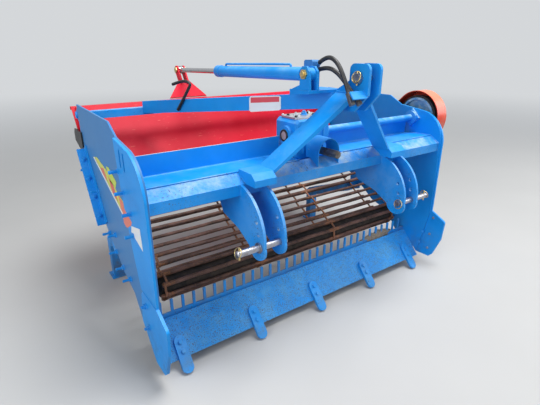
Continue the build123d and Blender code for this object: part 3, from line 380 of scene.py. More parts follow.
# Gate stops. Black-painted steel plates that stand on the side plates' outer faces and reach back past their
# rear edges. The paint is worn brown in patches.
black = Finish("black_bar_paint")
black_wear = black.noise(40, 5, 0.7).above(0.62, 0.72)
black_tone = black.tint(black_wear * 0.7, (0.014, 0.015, 0.018), (0.16, 0.13, 0.11))
black_bar = black.close(black_tone, 0.42 + black_wear * 0.3, relief=black.noise(220, 2), depth=0.0003)
dress(black_bar, "gate_stop_left", "gate_stop_right")


# Bare and plated steel. Hitch pins of turned bar, worn bright; the cylinder's pins in yellow zinc plate and
# its rod in chrome; the splined input shaft and the hose couplers in dark steel under a film of oil.
def bare_steel(name, light, stain, stain_tone, rough=0.34, metal=1.0):
    """Worn steel: a light colour, stained over a share of its face."""
    steel = Finish(name)
    marks = steel.noise(24, 5, 0.65).above(0.66 - 0.3 * stain, 0.82 - 0.3 * stain)
    turned = steel.noise(60, 2, 0.5, stretch=(14, 1, 1))
    tone = steel.tint(turned.above(0.35, 0.65), tuple(0.82 * part for part in light), light)
    tone = steel.tint(marks * 0.8, tone, stain_tone)
    gloss, metal_share = rough + marks * 0.4, metal - marks * 0.75
    return steel.close(tone, gloss, metal=metal_share, relief=turned - marks * 0.4, depth=0.0002)


bright_steel = bare_steel("worn_bright_steel", (0.44, 0.45, 0.5), 0.5, (0.17, 0.11, 0.08))
zinc_plate = bare_steel("yellow_zinc_plate", (0.72, 0.56, 0.25), 0.3, (0.3, 0.22, 0.1), rough=0.38)
chrome_plate = bare_steel("cylinder_chrome", (0.5, 0.5, 0.52), 0.1, (0.2, 0.17, 0.15), rough=0.14)
oily_steel = bare_steel("oily_dark_steel", (0.2, 0.19, 0.18), 0.6, (0.05, 0.036, 0.028), rough=0.3, metal=0.8)
dress(bright_steel, "link_pin_left", "link_pin_right", "mast_pin")
dress(oily_steel, "pto_shaft", "hose_couplers")
dress(zinc_plate, "ram_pin", "arm_pins")
dress(chrome_plate, "ram_rod")


# Gearbox lid, shaft, bearings and pulleys. The lid is cast alloy, satin and oily, and the driven pulley grey
# cast iron with a skin of dust. The shaft and bearings are painted azure, the drive pulley a pale blue.
alloy = Finish("cast_alloy")
alloy_oil = alloy.noise(18, 5, 0.6).above(0.5, 0.72)
alloy_tone = alloy.tint(alloy_oil * 0.6, (0.62, 0.63, 0.65), (0.25, 0.24, 0.22))
cast_alloy = alloy.close(alloy_tone, 0.36 + alloy_oil * 0.2, metal=0.85, relief=alloy.noise(320, 3), depth=0.0004)
dress(cast_alloy, "gear_lid")
iron = Finish("grey_cast_iron")
iron_dust = iron.noise(20, 5, 0.6).above(0.42, 0.7)
iron_tone = iron.tint(iron_dust * 0.6, (0.09, 0.095, 0.105), (0.25, 0.23, 0.2))
cast_iron = iron.close(iron_tone, 0.55 + iron_dust * 0.2, metal=0.5, relief=iron.noise(260, 3), depth=0.0006)
dress(cast_iron, "driven_pulley")
shaft_paint = azure("shaft_paint", dust_and_sheen=1.1, freckles=0.08, scratches=0.5, mud=0.0, seed=11.0,
                    dust_and_sheen_tone=(0.34, 0.55, 0.68))
dress(shaft_paint, "cross_shaft", "bearings")
pulley = Finish("pulley_paint")
pulley_wear = pulley.noise(24, 5, 0.65).above(0.35, 0.65)
pulley_tone = pulley.tint(pulley_wear, (0.1, 0.3, 0.52), (0.36, 0.5, 0.58))
pulley_paint = pulley.close(pulley_tone, 0.45 + pulley_wear * 0.15, relief=pulley.noise(260, 3), depth=0.0005)
dress(pulley_paint, "drive_pulley")


# Gate. A red-painted sheet panel with a folded rim and a welded gusset arm for the cylinder's clevis. The
# inside is scuffed by stones, and pale dust lies along its foot.
red = Finish("gate_red_paint")
red_height = red.split(red.place)[2]
red_broad = red.noise(1.8, 4, 0.6)
red_tone = red.tint(red_broad.above(0.3, 0.7), (0.54, 0.003, 0.018), (0.68, 0.009, 0.034))
red_scuff = red.noise(17, 5, 0.7, stretch=(1, 1, 2.4)).above(0.6, 0.78) * (1 - red_height.above(0.55, 0.92))
red_tone = red.tint(red_scuff * 0.5, red_tone, (0.3, 0.08, 0.06))
red_dust = red.noise(6, 6, 0.7).above(0.4, 0.75) * (0.03 + 0.26 * (1 - red_height.above(0.45, 0.7)))
red_tone = red.tint(red_dust, red_tone, (0.42, 0.33, 0.29))
red_lines = red.noise(20, 2, 0.5, stretch=(1, 1, 16)).above(0.71, 0.74) * 0.6
red_edges = red.rub() * red.noise(38, 4, 0.7).above(0.42, 0.6)
red_tone = red.tint(red_lines.most(red_edges * 0.7), red_tone, (0.78, 0.2, 0.16))
red_paint = red.close(red_tone, 0.42 + red_dust * 0.4 + red_scuff * 0.3,
                      relief=red_broad * 0.6 - red_scuff * 0.3, depth=0.0008, specular=0.12)
dress(red_paint, "gate_panel", "gate_arm")


# Belt guard. A deep rolled-sheet cover in gloss orange, with a painted highlight that makes its upward faces paler,
# and dusty inside, with a rubber belt that runs under it.
orange = Finish("guard_orange_paint")
orange_fade = orange.noise(5, 4, 0.6).above(0.35, 0.7)
orange_tone = orange.tint(orange_fade, (0.66, 0.045, 0.016), (0.78, 0.085, 0.03))
# Painted highlight: faces that point up lean towards a pale orange.
orange_tone = orange.tint(orange.split(orange.lean)[2].above(0.1, 0.9) * 0.6, orange_tone, (0.88, 0.34, 0.2))
orange_dust = orange.noise(12, 6, 0.7).above(0.5, 0.8) * 0.4
orange_tone = orange.tint(orange_dust, orange_tone, (0.45, 0.3, 0.22))
orange_paint = orange.close(orange_tone, 0.3 + orange_dust * 0.5, relief=orange.noise(7, 3), depth=0.0008, coat=0.1)
dress(orange_paint, "belt_guard")
belt = Finish("belt_rubber")
belt_tone = belt.tint(belt.noise(40, 4).above(0.4, 0.7) * 0.4, (0.013, 0.013, 0.013), (0.1, 0.09, 0.08))
belt_rubber = belt.close(belt_tone, 0.7, relief=belt.noise(300, 2), depth=0.0004)
dress(belt_rubber, "drive_belt")


# Blade, tines and comb. Wear steel in the same paint, sanded off by soil: a pale film that is part sandy dust and
# part painted highlight on upward faces, dense rust freckles and bare streaks. The tines are bolted to the blade, and
# the comb's fingers stand in a row behind it.
blade_paint = azure("blade_paint", dust_and_sheen=0.6, freckles=0.9, scratches=0.7, mud=0.2, mud_top=0.2, seed=14.0,
                    dust_and_sheen_tone=(0.16, 0.48, 0.74), spot_scale=270.0)
tine_paint = azure("tine_paint", dust_and_sheen=0.4, freckles=0.5, scratches=0.6, mud=0.4, mud_top=0.09, seed=17.0)
comb_paint = azure("comb_paint", dust_and_sheen=0.9, freckles=0.5, scratches=0.6, mud=0.45, mud_top=0.4, seed=21.0,
                   dust_and_sheen_tone=(0.3, 0.42, 0.5))
dress(blade_paint, "blade")
dress(tine_paint, "tines")
dress(comb_paint, "comb")


# Packed grit. A crust of sandy soil that has stuck between the comb's fingers at the right end, above the
# blade's edge, where the web doesn't sweep it off.
grit = Finish("packed_grit")
grit_grain = grit.noise(420, 3, 0.7)
grit_tone = grit.tint(grit_grain.above(0.35, 0.65), (0.13, 0.1, 0.07), (0.42, 0.37, 0.3))
grit_tone = grit.tint(grit.noise(30, 4).above(0.5, 0.75) * 0.5, grit_tone, (0.09, 0.065, 0.045))
grit_crust = grit.close(grit_tone, 0.95, relief=grit_grain, depth=0.003)
crust_start, crust_length = 430, 300
crust_back, crust_up = 168, 199
crust_deep, crust_high = 15, 32
stations, turns = 34, 12
crust = []
for station in range(stations):
    share = station / (stations - 1)
    swell = math.sin(math.pi * share ** 1.4) ** 0.6 if 0 < share < 1 else 0.04
    for turn in range(turns):
        angle = 2 * math.pi * turn / turns
        lump = 1 + 0.55 * noise.noise(Vector((share * 21, 1.3 * math.cos(angle), 1.3 * math.sin(angle))))
        crust.append(at(crust_start + crust_length * share, crust_back + crust_deep * swell * lump * math.cos(angle),
                        crust_up + crust_high * swell * lump * math.sin(angle)))
crust_piece = plain_mesh("packed_grit", crust, tube_faces(0, stations, turns), grit_crust)
face_outwards(crust_piece.data)
for side in crust_piece.data.polygons:
    side.use_smooth = True


# Sieve web. Round bars on four rows of hooked links run as an endless belt round two drums. Bare steel,
# rusted brown and rubbed by stones, rustiest at the links, with a painted highlight on the bars' upward faces; the
# drums are black with grime and painted shade.
class Recipe(Graph):
    """A geometry node tree with named inputs; cooked on a mesh, it leaves a plain mesh with one material."""

    def __init__(self, name, **inputs):
        super().__init__(bpy.data.node_groups.new(name, "GeometryNodeTree"))
        face = self.tree.interface
        face.new_socket("Geometry", in_out="INPUT", socket_type="NodeSocketGeometry")
        self.keys = {}
        for key, kind in {**inputs, "material": "NodeSocketMaterial"}.items():
            self.keys[key] = face.new_socket(key, in_out="INPUT", socket_type=kind).identifier
        face.new_socket("Geometry", in_out="OUTPUT", socket_type="NodeSocketGeometry")
        entry = self.tree.nodes.new("NodeGroupInput")
        self.given = {output.name: Wire(self, output) for output in entry.outputs if output.name}

    def attribute(self, key, kind="FLOAT"):
        return self.node("GeometryNodeInputNamedAttribute", {"data_type": kind}, key)

    def vector(self, *parts):
        return self.node("ShaderNodeCombineXYZ", None, *parts)

    def turned(self, *parts):
        return self.node("FunctionNodeEulerToRotation", None, self.vector(*parts))

    def cylinder(self, sides, radius, height, steps=1):
        return self.node("GeometryNodeMeshCylinder", {"fill_type": "NGON"}, sides, steps, 1, radius, height)

    def join(self, *pieces):
        return self.node("GeometryNodeJoinGeometry", None, list(pieces))

    def copies(self, points, pattern, **ports):
        """A copy of the pattern at each point."""
        return self.node("GeometryNodeInstanceOnPoints", None, points, ports={"Instance": pattern, **ports})

    def serve(self, geometry):
        """Makes the copies real, gives them the material and ends the tree."""
        whole = self.node("GeometryNodeRealizeInstances", None, geometry)
        coated = self.node("GeometryNodeSetMaterial", None, whole, ports={"Material": self.given["material"]})
        self.node("NodeGroupOutput", None, coated)

    def cook(self, name, mesh, body, **values):
        """Runs the tree on the mesh, with the inputs set, and returns a plain mesh piece that rides on the body."""
        piece = bpy.data.objects.new(name, mesh)
        scene.collection.objects.link(piece)
        modifier = piece.modifiers.new(name, "NODES")
        modifier.node_group = self.tree
        for key, value in values.items():
            modifier[self.keys[key]] = value
        result = bpy.data.meshes.new_from_object(piece.evaluated_get(bpy.context.evaluated_depsgraph_get()))
        piece.modifiers.clear()
        piece.data = result
        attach(piece, body)
        return piece


def points_mesh(name, places, **columns):
    """Loose points with attributes: numbers or vectors, one for each point."""
    mesh = bpy.data.meshes.new(name)
    mesh.from_pydata([tuple(place) for place in places], [], [])
    for key, column in columns.items():
        single = not hasattr(column[0], "__len__")
        layer = mesh.attributes.new(key, "FLOAT" if single else "FLOAT_VECTOR", "POINT")
        flat = column if single else [part for row in column for part in row]
        layer.data.foreach_set("value" if single else "vector", flat)
    return mesh


rusty = Finish("rusty_web_steel")
rust_broad = rusty.noise(9, 5, 0.65)
rust_fine = rusty.noise(120, 4, 0.7)
rust_tone = rusty.tint(rust_broad.above(0.3, 0.72), (0.04, 0.022, 0.017), (0.2, 0.1, 0.075))
rust_tone = rusty.tint(rust_fine.above(0.5, 0.75) * 0.7, rust_tone, (0.3, 0.125, 0.05))
# The rows of links stand at 0.247 and 0.742 m on either side of the machine's middle.
link_middle, link_reach = 0.4945, 0.2475
from_middle = (rusty.split(rusty.place)[0] + -datum.x).size()
from_links = ((from_middle - link_middle).size() - link_reach).size()
link_rust = (1 - from_links.above(0.02, 0.05)) * rust_fine.above(0.35, 0.6) * 0.7
rust_tone = rusty.tint(link_rust, rust_tone, (0.36, 0.14, 0.05))
# Lighter, glossier patches on upward faces: rubbing by stones, and a painted highlight on the bars' tops.
rubbed_and_lit_tops = rusty.noise(3.5, 4, 0.6, stretch=(1, 4, 4)).above(0.55, 0.72)
rubbed_and_lit_tops = rubbed_and_lit_tops * rusty.split(rusty.lean)[2].above(0.2, 0.9) * 0.35
rust_tone = rusty.tint(rubbed_and_lit_tops, rust_tone, (0.3, 0.2, 0.17))
rusty_steel = rusty.close(rust_tone, 0.62 - rubbed_and_lit_tops * 0.25 + rust_fine * 0.12, metal=0.25 + rubbed_and_lit_tops * 0.4,
                          relief=rust_fine, depth=0.0008)
# The drums are near black: grime, and painted shade that darkens the web's gaps behind the bars.
grime = Finish("drum_grime")
grime_soil = grime.noise(26, 6, 0.75)
grime_and_shade_tone = grime.tint(grime_soil.above(0.35, 0.75), (0.008, 0.006, 0.005), (0.045, 0.03, 0.022))
drum_grime = grime.close(grime_and_shade_tone, 0.9, relief=grime_soil, depth=0.003)
dress(drum_grime, "web_drum_front", "web_drum_rear")

# The web's path: up over the front drum, back round the rear one and home underneath.
front_drum, rear_drum = (237.0, 292.0), (646.9, 523.9)
web_tilt = math.radians(29.5)
web_length = 471.0
web_radius = 55.0
web_turn = math.pi * web_radius
web_loop = 2 * web_length + 2 * math.pi * web_radius
bar_count = 26
pitch = web_loop / bar_count


def web_place(distance):
    """Where the web's loop runs, back and up, at a distance from the foot of its upper run."""
    distance %= web_loop
    if distance < web_length:
        along, out = distance, web_radius
    elif distance < web_length + web_turn:
        angle = (distance - web_length) / web_radius
        along, out = web_length + web_radius * math.sin(angle), web_radius * math.cos(angle)
    elif distance < 2 * web_length + web_turn:
        along, out = 2 * web_length + web_turn - distance, -web_radius
    else:
        angle = (distance - 2 * web_length - web_turn) / web_radius
        along, out = -web_radius * math.sin(angle), -web_radius * math.cos(angle)
    back = front_drum[0] + along * math.cos(web_tilt) - out * math.sin(web_tilt)
    return back, front_drum[1] + along * math.sin(web_tilt) + out * math.cos(web_tilt)


def hook(first, last, bar):
    """A bend round a bar, from one angle down to another, and how far along the bar stands."""
    return [(math.cos(math.radians(turn)), math.sin(math.radians(turn)), bar) for turn in range(first, last, -36)]


# One hooked link: a strap bent round its own bar and hooked over the next one.
strap_bend, strap_half_thick, strap_half_wide = 8.0, 2.3, 5.0
strap_line = hook(-50, -271, 0) + hook(90, -131, pitch)
rims = [[(x * (strap_bend + grow) + bar, y * (strap_bend + grow)) for x, y, bar in strap_line]
        for grow in (strap_half_thick, -strap_half_thick)]
corners = [(side / 1000, y / 1000, z / 1000)
           for side in (-strap_half_wide, strap_half_wide) for rim in rims for y, z in rim]
count = len(strap_line)
strips = []
for step in range(count - 1):
    for first, second, flip in (
            (0, count, False), (2 * count, 3 * count, True), (0, 2 * count, True), (count, 3 * count, False)):
        quad = (first + step, first + step + 1, second + step + 1, second + step)
        strips.append(quad[::-1] if flip else quad)
strips += [(0, count, 3 * count, 2 * count), (count - 1, 3 * count - 1, 4 * count - 1, 2 * count - 1)]
link_mesh = bpy.data.meshes.new("hooked_link")
link_mesh.from_pydata(corners, [], strips)
face_outwards(link_mesh)
link_pattern = bpy.data.objects.new("hooked_link", link_mesh)

web = Recipe("web", link="NodeSocketObject", reach="NodeSocketFloat", columns="NodeSocketInt",
             edge="NodeSocketFloat", wear="NodeSocketFloat")
bar = web.cylinder(10, 1.0, web.given["reach"] * 2, steps=24)
link = web.node("GeometryNodeObjectInfo", None, web.given["link"], output=4)
first_column = web.vector(web.given["edge"] * -1, 0.0, 0.0)
last_column = web.vector(web.given["edge"], 0.0, 0.0)
columns = web.node("GeometryNodeMeshLine", {"mode": "END_POINTS"}, ports={
    "Count": web.given["columns"], "Start Location": first_column, "Offset": last_column})
row = web.copies(columns, link)
thick = web.attribute("thick")
bars = web.copies(web.given["Geometry"], bar, Rotation=web.turned(0.0, math.pi / 2, 0.0),
                  Scale=web.vector(thick, thick, 1.0))
links = web.copies(web.given["Geometry"], row, Rotation=web.turned(web.attribute("lean"), 0.0, 0.0))
built = web.node("GeometryNodeRealizeInstances", None, web.join(bars, links))
where = web.node("GeometryNodeInputPosition")
bend = web.node("ShaderNodeTexNoise", None, ports={"Vector": where, "Scale": 5.0, "Detail": 1.0}) - 0.5
bent = web.vector(0.0, bend * web.given["wear"] * 0.4, bend * web.given["wear"])
web.serve(web.node("GeometryNodeSetPosition", None, built, ports={"Offset": bent}))

stagger, tie_every = 6, 5
bar_radius, tie_radius = 0.008, 0.0098
rows = [web_place((step + 0.5) * pitch) for step in range(bar_count)]
leans = [math.atan2(there[1] - here[1], there[0] - here[0]) for here, there in zip(rows, rows[1:] + rows[:1])]
web_mesh = points_mesh(
    "web_rows", [at(stagger if step % 2 else -stagger, *place) for step, place in enumerate(rows)], lean=leans,
    thick=[bar_radius if step % tie_every else tie_radius for step in range(bar_count)])
web_piece = web.cook("hooked_bar_web", web_mesh, "frame", link=link_pattern, reach=0.764, columns=4,
                     edge=0.742, wear=0.008, material=rusty_steel)
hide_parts("sieve_web")


# Bolts. Hexagon heads on washers, painted over with the plates they hold. Those along the left plate's edge
# are long studs with nuts, and the gearbox lid carries plugs and a filler cap.
bolts = Recipe("bolts", stud="NodeSocketFloat")
head = bolts.cylinder(6, 1.0, 0.75)
washer = bolts.cylinder(16, 1.3, 0.2)
stem = bolts.cylinder(10, 0.55, bolts.given["stud"])
raised = bolts.node("GeometryNodeTransform", None, head, ports={"Translation": (0.0, 0.0, 0.55)})
grounded = bolts.node("GeometryNodeTransform", None, washer, ports={"Translation": (0.0, 0.0, 0.1)})
stem_middle = bolts.vector(0.0, 0.0, bolts.given["stud"] / 2)
stood = bolts.node("GeometryNodeTransform", None, stem, ports={"Translation": stem_middle})
spin = bolts.node("FunctionNodeRandomValue", {"data_type": "FLOAT"}, ports={2: 0.0, 3: 1.05, "Seed": 4}, output=1)
aimed = bolts.node("FunctionNodeAlignRotationToVector", {"axis": "Z"}, bolts.turned(0.0, 0.0, spin), ports={
    "Vector": bolts.attribute("facing", "FLOAT_VECTOR")})
size = bolts.attribute("size")
bolts.serve(bolts.copies(bolts.given["Geometry"], bolts.join(raised, grounded, stood), Rotation=aimed,
                         Scale=bolts.vector(size, size, size)))


def bolt_on(name, rows, material, stud=0.95):
    """Bolts at rows of (place, facing, size): millimetres from the datum, a direction and a head's half width.

    The stud's length is measured in half widths."""
    places, facings, halves = zip(*rows)
    mesh = points_mesh(name, [at(*place) for place in places], facing=facings, size=[half / 1000 for half in halves])
    piece = bolts.cook(name, mesh, "frame", stud=stud, material=material)


def round_about(centre, radius, degrees):
    """A place, back and up, on a circle about a centre."""
    turn = math.radians(degrees)
    return centre[0] + radius * math.cos(turn), centre[1] + radius * math.sin(turn)


# Side plates: how far their faces and those of the pieces on them stand from the machine's middle.
plate_face, plate_inside, bearing_face = 848, 828, 826.7
doubler_face, rail_face = 860.3, 872
leftward, rightward, upward, forward = (-1, 0, 0), (1, 0, 0), (0, 0, 1), (0, -1, 0)
cross_shaft = (190, 897)
corner_studs = ((270, 831), (225, 756), (158, 690), (158, 600))
edge_studs = ((883, 752), (892, 690), (800, 655), (715, 622), (699, 516), (600, 440), (493, 471), (520, 372),
              (430, 330), (330, 318))
studs = [((-plate_face, y, z), leftward, 13) for y, z in corner_studs]
studs += [((-plate_face, y, z), leftward, 11) for y, z in edge_studs]
bolt_on("left_plate_studs", studs, plate_paint, stud=3.4)

rail_foot, rail_way = (652, 462), (0.5604, 0.8282)
short_studs = [((-doubler_face, y, z), leftward, 11) for y, z in ((104, 311), (92, 215))]
for reach in (50, 150, 250, 350):
    place = (-rail_face, rail_foot[0] + rail_way[0] * reach, rail_foot[1] + rail_way[1] * reach)
    short_studs.append((place, (0, -rail_way[1], rail_way[0]), 10))
bolt_on("left_short_studs", short_studs, plate_paint, stud=1.9)

right_bolts = ((560, 430), (450, 340), (330, 300), (750, 560), (850, 690), (230, 300))
plain = [((doubler_face, y, z), rightward, 8) for y, z in ((-35, 325), (-23, 216), (-15, 121))]
plain += [((plate_face, y, z), rightward, 8) for y, z in right_bolts]
bolt_on("right_plate_bolts", plain, plate_paint)
cheek_places = ((-37, 325), (-28, 216), (-26, 121))
cheeks = [((side * plate_face, y, z), (-side, 0, 0), 6) for side in (-1, 1) for y, z in cheek_places]
bolt_on("cheek_bolts", cheeks, bright_steel)

bearing_ring = 41
inside = [((plate_inside, y, z), leftward, 7) for y, z in ((8, 222), (22, 150))]
for side, axis in ((-1, front_drum), (1, front_drum), (-1, rear_drum), (1, rear_drum), (1, cross_shaft)):
    for turn in (0, 90, 180, 270):
        inside.append(((side * bearing_face, *round_about(axis, bearing_ring, turn)), (-side, 0, 0), 6))
bolt_on("inner_plate_bolts", inside, plate_paint)

blade_foot, blade_top, tine_pitch = (30, 50), 14.3, 375
slope = (math.cos(math.radians(48)), math.sin(math.radians(48)))
on_blade = []
for tine in range(-2, 3):
    for up in (65, 25):
        place = (tine_pitch * tine, blade_foot[0] + slope[0] * up - slope[1] * blade_top,
                 blade_foot[1] + slope[1] * up + slope[0] * blade_top)
        on_blade.append((place, (0, -slope[1], slope[0]), 9))
bolt_on("tine_bolts", on_blade, tine_paint)

lid_top, shelf_top, cover_face, input_height = 980.3, 799, 97, 838
gear_bolts = [((x, y, lid_top), upward, 6) for x in (-72, 7, 86) for y in (143, 257)]
gear_bolts += [((x, y, shelf_top), upward, 8) for x in (-105, 120) for y in (148, 252)]
gear_bolts += [((x, cover_face, input_height + up), forward, 5) for x, up in ((27, 0), (-27, 0), (0, 27), (0, -27))]
bolt_on("gearbox_bolts", gear_bolts, cast_alloy)
plugs = ((-62, 168, 8), (48, 172, 9), (-58, 234, 7), (52, 228, 8))
bolt_on("lid_plugs", [((x, y, lid_top), upward, half) for x, y, half in plugs], black_bar)
bolt_on("lid_cap", [((10, 200, lid_top), upward, 14)], shaft_paint, stud=1.5)
guard_face, guard_places = 945, ((120, 960), (260, 830), (600, 480), (700, 575))
bolt_on("guard_bolts", [((guard_face, y, z), rightward, 8) for y, z in guard_places], orange_paint)


# Weld beads. Painted-over fillet runs where the brackets, legs, beam and mast meet, drawn as rippled threads
# along each joint.
bead = Recipe("weld_bead", thickness="NodeSocketFloat")
bead_line = bead.node("GeometryNodeMeshToCurve", None, bead.given["Geometry"])
seam = bead.node("GeometryNodeResampleCurve", {"mode": "LENGTH"}, bead_line, ports={"Length": 0.0026})
along = bead.node("GeometryNodeSplineParameter", None, output=1)
ripple = (along * 1100).wave() * 0.16 + bead.node("ShaderNodeTexNoise", None, ports={"Scale": 60.0}) * 0.6 + 0.7
fat = bead.node("GeometryNodeSetCurveRadius", None, seam, ports={"Radius": ripple * bead.given["thickness"]})
ring = bead.node("GeometryNodeCurvePrimitiveCircle", {"mode": "RADIUS"}, ports={"Resolution": 7, "Radius": 1.0})
tube = bead.node("GeometryNodeCurveToMesh", None, fat, ports={
    "Profile Curve": ring, "Scale": ripple * bead.given["thickness"]})
bead.serve(bead.node("GeometryNodeSetShadeSmooth", None, tube))
bead_radius = 0.0032


def weld(name, runs, material, body="frame"):
    """Weld beads along runs of places in millimetres."""
    mesh = bpy.data.meshes.new(name)
    places, edges = [], []
    for run in runs:
        edges += [(len(places) + step, len(places) + step + 1) for step in range(len(run) - 1)]
        places += [tuple(at(*place)) for place in run]
    mesh.from_pydata(places, edges, [])
    piece = bead.cook(name, mesh, body, thickness=bead_radius, material=material)


def beam_z(back):
    """Height of the beam's sloping top."""
    return 775 + 36 * back / 58


# On each side: round the mast leg's foot, down and along the bracket's two lugs, and up the beam's end.
leg_inner, leg_outer, beam_end = 345, 447, 838
lugs, lug_half = (367, 464), 6
runs = []
for side in (-1, 1):
    near, far = side * leg_inner, side * leg_outer
    runs += [[(x, 0, 776), (x, 50, beam_z(50) + 1)] for x in (near, far)]
    runs += [[(near, 51, beam_z(50)), (far, 51, beam_z(50))], [(near, 0, 774), (far, 0, 774)]]
    for lug in lugs:
        for face in (-lug_half, lug_half):
            x = side * (lug + face)
            runs.append([(x, -1, 732), (x, -1, 772)])
            runs.append([(x, 2, 729), (x, 60, 729)])
    runs.append([(side * beam_end, y, z) for y, z in ((-1, 731), (-1, 775), (58, 811), (209, 805))])
runs += [[(-839, 56, 812), (-128, 56, 812)], [(142, 56, 812), (839, 56, 812)]]
weld("beam_welds", runs, beam_paint)
mast_runs = [[(x, -160, z), (x, -62, z)] for z in (1089, 1112) for x in (-39, 39)]
weld("mast_welds", mast_runs, mast_paint)
arm_runs = [[(-272, y, 981), (-30, y, 981)] for y in (1136, 1126)]
weld("gate_arm_welds", arm_runs, red_paint, body="gate")


# Linch pins. Sprung rings of round wire on short pins, through the ends of the hitch pins and the mast pin:
# zinc plate gone dull.
def wire_piece(name, runs, radius, material, closed=True, smooth=2):
    """Round wire bent through places in millimetres: each run is one piece of it."""
    line = bpy.data.curves.new(name, "CURVE")
    line.dimensions = "3D"
    line.bevel_depth = radius / 1000
    line.bevel_resolution = smooth
    line.use_fill_caps = True
    for run in runs:
        path = line.splines.new("POLY")
        path.points.add(len(run) - 1)
        for knot, place in zip(path.points, run):
            knot.co = (*at(*place), 1.0)
        path.use_cyclic_u = closed
    drawn = bpy.data.objects.new(name, line)
    scene.collection.objects.link(drawn)
    mesh = bpy.data.meshes.new_from_object(drawn.evaluated_get(bpy.context.evaluated_depsgraph_get()))
    bpy.data.objects.remove(drawn)
    mesh.materials.clear()
    mesh.materials.append(material)
    for face in mesh.polygons:
        face.use_smooth = True
    piece = bpy.data.objects.new(name, mesh)
    scene.collection.objects.link(piece)
    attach(piece, "frame")
    return piece


circle = [15 * step for step in range(24)]


def linch_ring(centre, radius, tilt):
    """A ring hanging from a pin's end: places round a circle turned about the pin's own line."""
    x, y, z = centre
    turns = [math.radians(turn) for turn in circle]
    return [(x + radius * math.sin(turn) * math.sin(tilt), y + radius * math.cos(turn),
             z + radius * math.sin(turn) * math.cos(tilt)) for turn in turns]


rings, pegs = [], []
for x, y, z, tilt in ((-562, -133, 557, 0.35), (562, -133, 557, -0.35), (-47, -176, 1168, 0.3)):
    pegs.append([(x, y, z + 27), (x, y, z - 25)])
    rings.append(linch_ring((x + (-6 if x < 0 else 6), y, z + 6), 21, tilt))
rings.append(linch_ring((356, -133, 553), 22, 0.25))
wire_piece("linch_rings", rings, 1.9, zinc_plate)
wire_piece("linch_pegs", pegs, 4.4, zinc_plate, closed=False)


# Hub seal. A black rubber lip ring pressed into the gearbox's left hub, round the pale face of the blanked
# shaft end.
hub_face = bare_steel("hub_face_steel", (0.5, 0.36, 0.36), 0.35, (0.16, 0.1, 0.08), rough=0.55, metal=0.1)
seal_ring = [(-115, *round_about(cross_shaft, 24, -turn)) for turn in circle]
wire_piece("hub_seal", [seal_ring], 5, black_bar)
end_ring = [at(-115.6, *round_about(cross_shaft, 20, -turn)) for turn in circle]
shaft_end = plain_mesh("hub_end", end_ring, [tuple(range(len(circle)))], hub_face)


# Latch rod. Black round bar, welded along the top beam's front face and bent over above it, as a handle and
# a rest for the gate's catch.
latch_line = (
    (-424.4, 672.8, 982.7), (-403.8, 631.6, 1045.3), (-386, 596, 1102), (-384.6, 593.1, 1110), (-386, 596, 1117.5),
    (-391, 606, 1122.6), (-399, 622, 1124.8), (-407, 638, 1123.4), (-420, 664, 1116.2), (-433.6, 691.3, 1106.8))
latch_bar = wire_piece("latch_bar", [latch_line], 7.5, black_bar, closed=False, smooth=3)
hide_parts("latch_rod")


# Label, stripes and rubbed edge. A blank white plate with a plain red band on the top beam, plain coloured
# stripes along the left plate, all thin film with no writing, and bare primer along the apron's top edge.
def film(name, corners, color, outward, rough=0.35):
    """Flat printed film through corners in millimetres, with its face turned outward."""
    ink = Finish(name + "_ink")
    stain = ink.noise(90, 4, 0.7).above(0.62, 0.75) * 0.45
    print_ink = ink.close(ink.tint(stain, color, tuple(0.45 * part for part in color)), rough)
    places = [at(*corner) for corner in corners]
    swept = sum(((a - places[0]).cross(b - places[0]) for a, b in zip(places[1:], places[2:])), Vector())
    if swept.dot(Vector(outward)) < 0:
        places.reverse()
    piece = plain_mesh(name, places, [tuple(range(len(places)))], print_ink)


beam_out = Vector((-0.8947, -0.4467, 0.0))


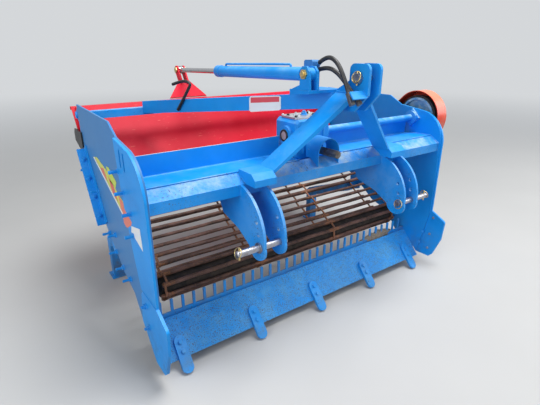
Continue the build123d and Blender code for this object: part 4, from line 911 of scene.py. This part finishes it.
def on_beam(share, height, lift):
    """A corner on the label: its share of the label's length and height, and how far it stands off the beam."""
    start, end = Vector((-158, 158, 0)), Vector((-230, 303, 0))
    low, high = 1020 - 19 * share, 1083 - 12 * share
    place = start + (end - start) * share + beam_out * lift
    return place.x, place.y, low + (high - low) * height


label_shape = ((0.05, 0), (0.95, 0), (1, 0.1), (1, 0.9), (0.95, 1), (0.05, 1), (0, 0.9), (0, 0.1))
band_shape = ((0.05, 0.58), (0.95, 0.58), (0.95, 0.93), (0.05, 0.93))
film("blank_label", [on_beam(*corner, 0.9) for corner in label_shape], (0.8, 0.8, 0.79), beam_out)
film("label_band", [on_beam(*corner, 1.3) for corner in band_shape], (0.68, 0.07, 0.09), beam_out)
on_plate, on_doubler = -848.5, -858.5
for name, face, corners, color in (
    ("yellow_stripe", on_plate, ((722, 793), (640, 807), (464, 775), (351, 714), (281, 699), (281, 615)),
     (0.6, 0.62, 0.08)),
    ("red_block_upper", on_plate - 0.3, ((600, 768), (545, 777), (498, 728), (552, 736)), (0.72, 0.13, 0.07)),
    ("red_block_middle", on_plate - 0.3, ((480, 758), (410, 738), (366, 672), (436, 694)), (0.66, 0.09, 0.07)),
    ("red_block_lower", on_plate - 0.3, ((348, 708), (284, 694), (284, 632), (330, 646)), (0.72, 0.16, 0.09)),
    ("white_edge", on_plate - 0.6, ((722, 793), (690, 797), (281, 630), (281, 615)), (0.74, 0.76, 0.74)),
    ("red_tail", on_doubler, ((276, 697), (160, 656), (175, 637), (233, 606), (253, 604), (276, 613)),
     (0.7, 0.15, 0.1)),
    ("white_flash", on_doubler - 0.3, ((171, 637), (65, 663), (58, 574), (182, 608)), (0.74, 0.76, 0.78)),
    ("green_flash", on_plate - 0.3, ((493, 799), (448, 804), (348, 764), (374, 732), (449, 738)),
     (0.5, 0.62, 0.05)),
):
    film(name, [(face, y, z) for y, z in corners], color, leftward)
rub_front, rub_back, rub_height = 212.1, 216.9, 893.3
for name, first, last in (("apron_rub_left", -839, -127), ("apron_rub_right", 141, 810)):
    strip = ((first, rub_front), (last, rub_front), (last, rub_back), (first, rub_back))
    film(name, [(x, y, rub_height) for x, y in strip], (0.62, 0.66, 0.68), upward, rough=0.7)
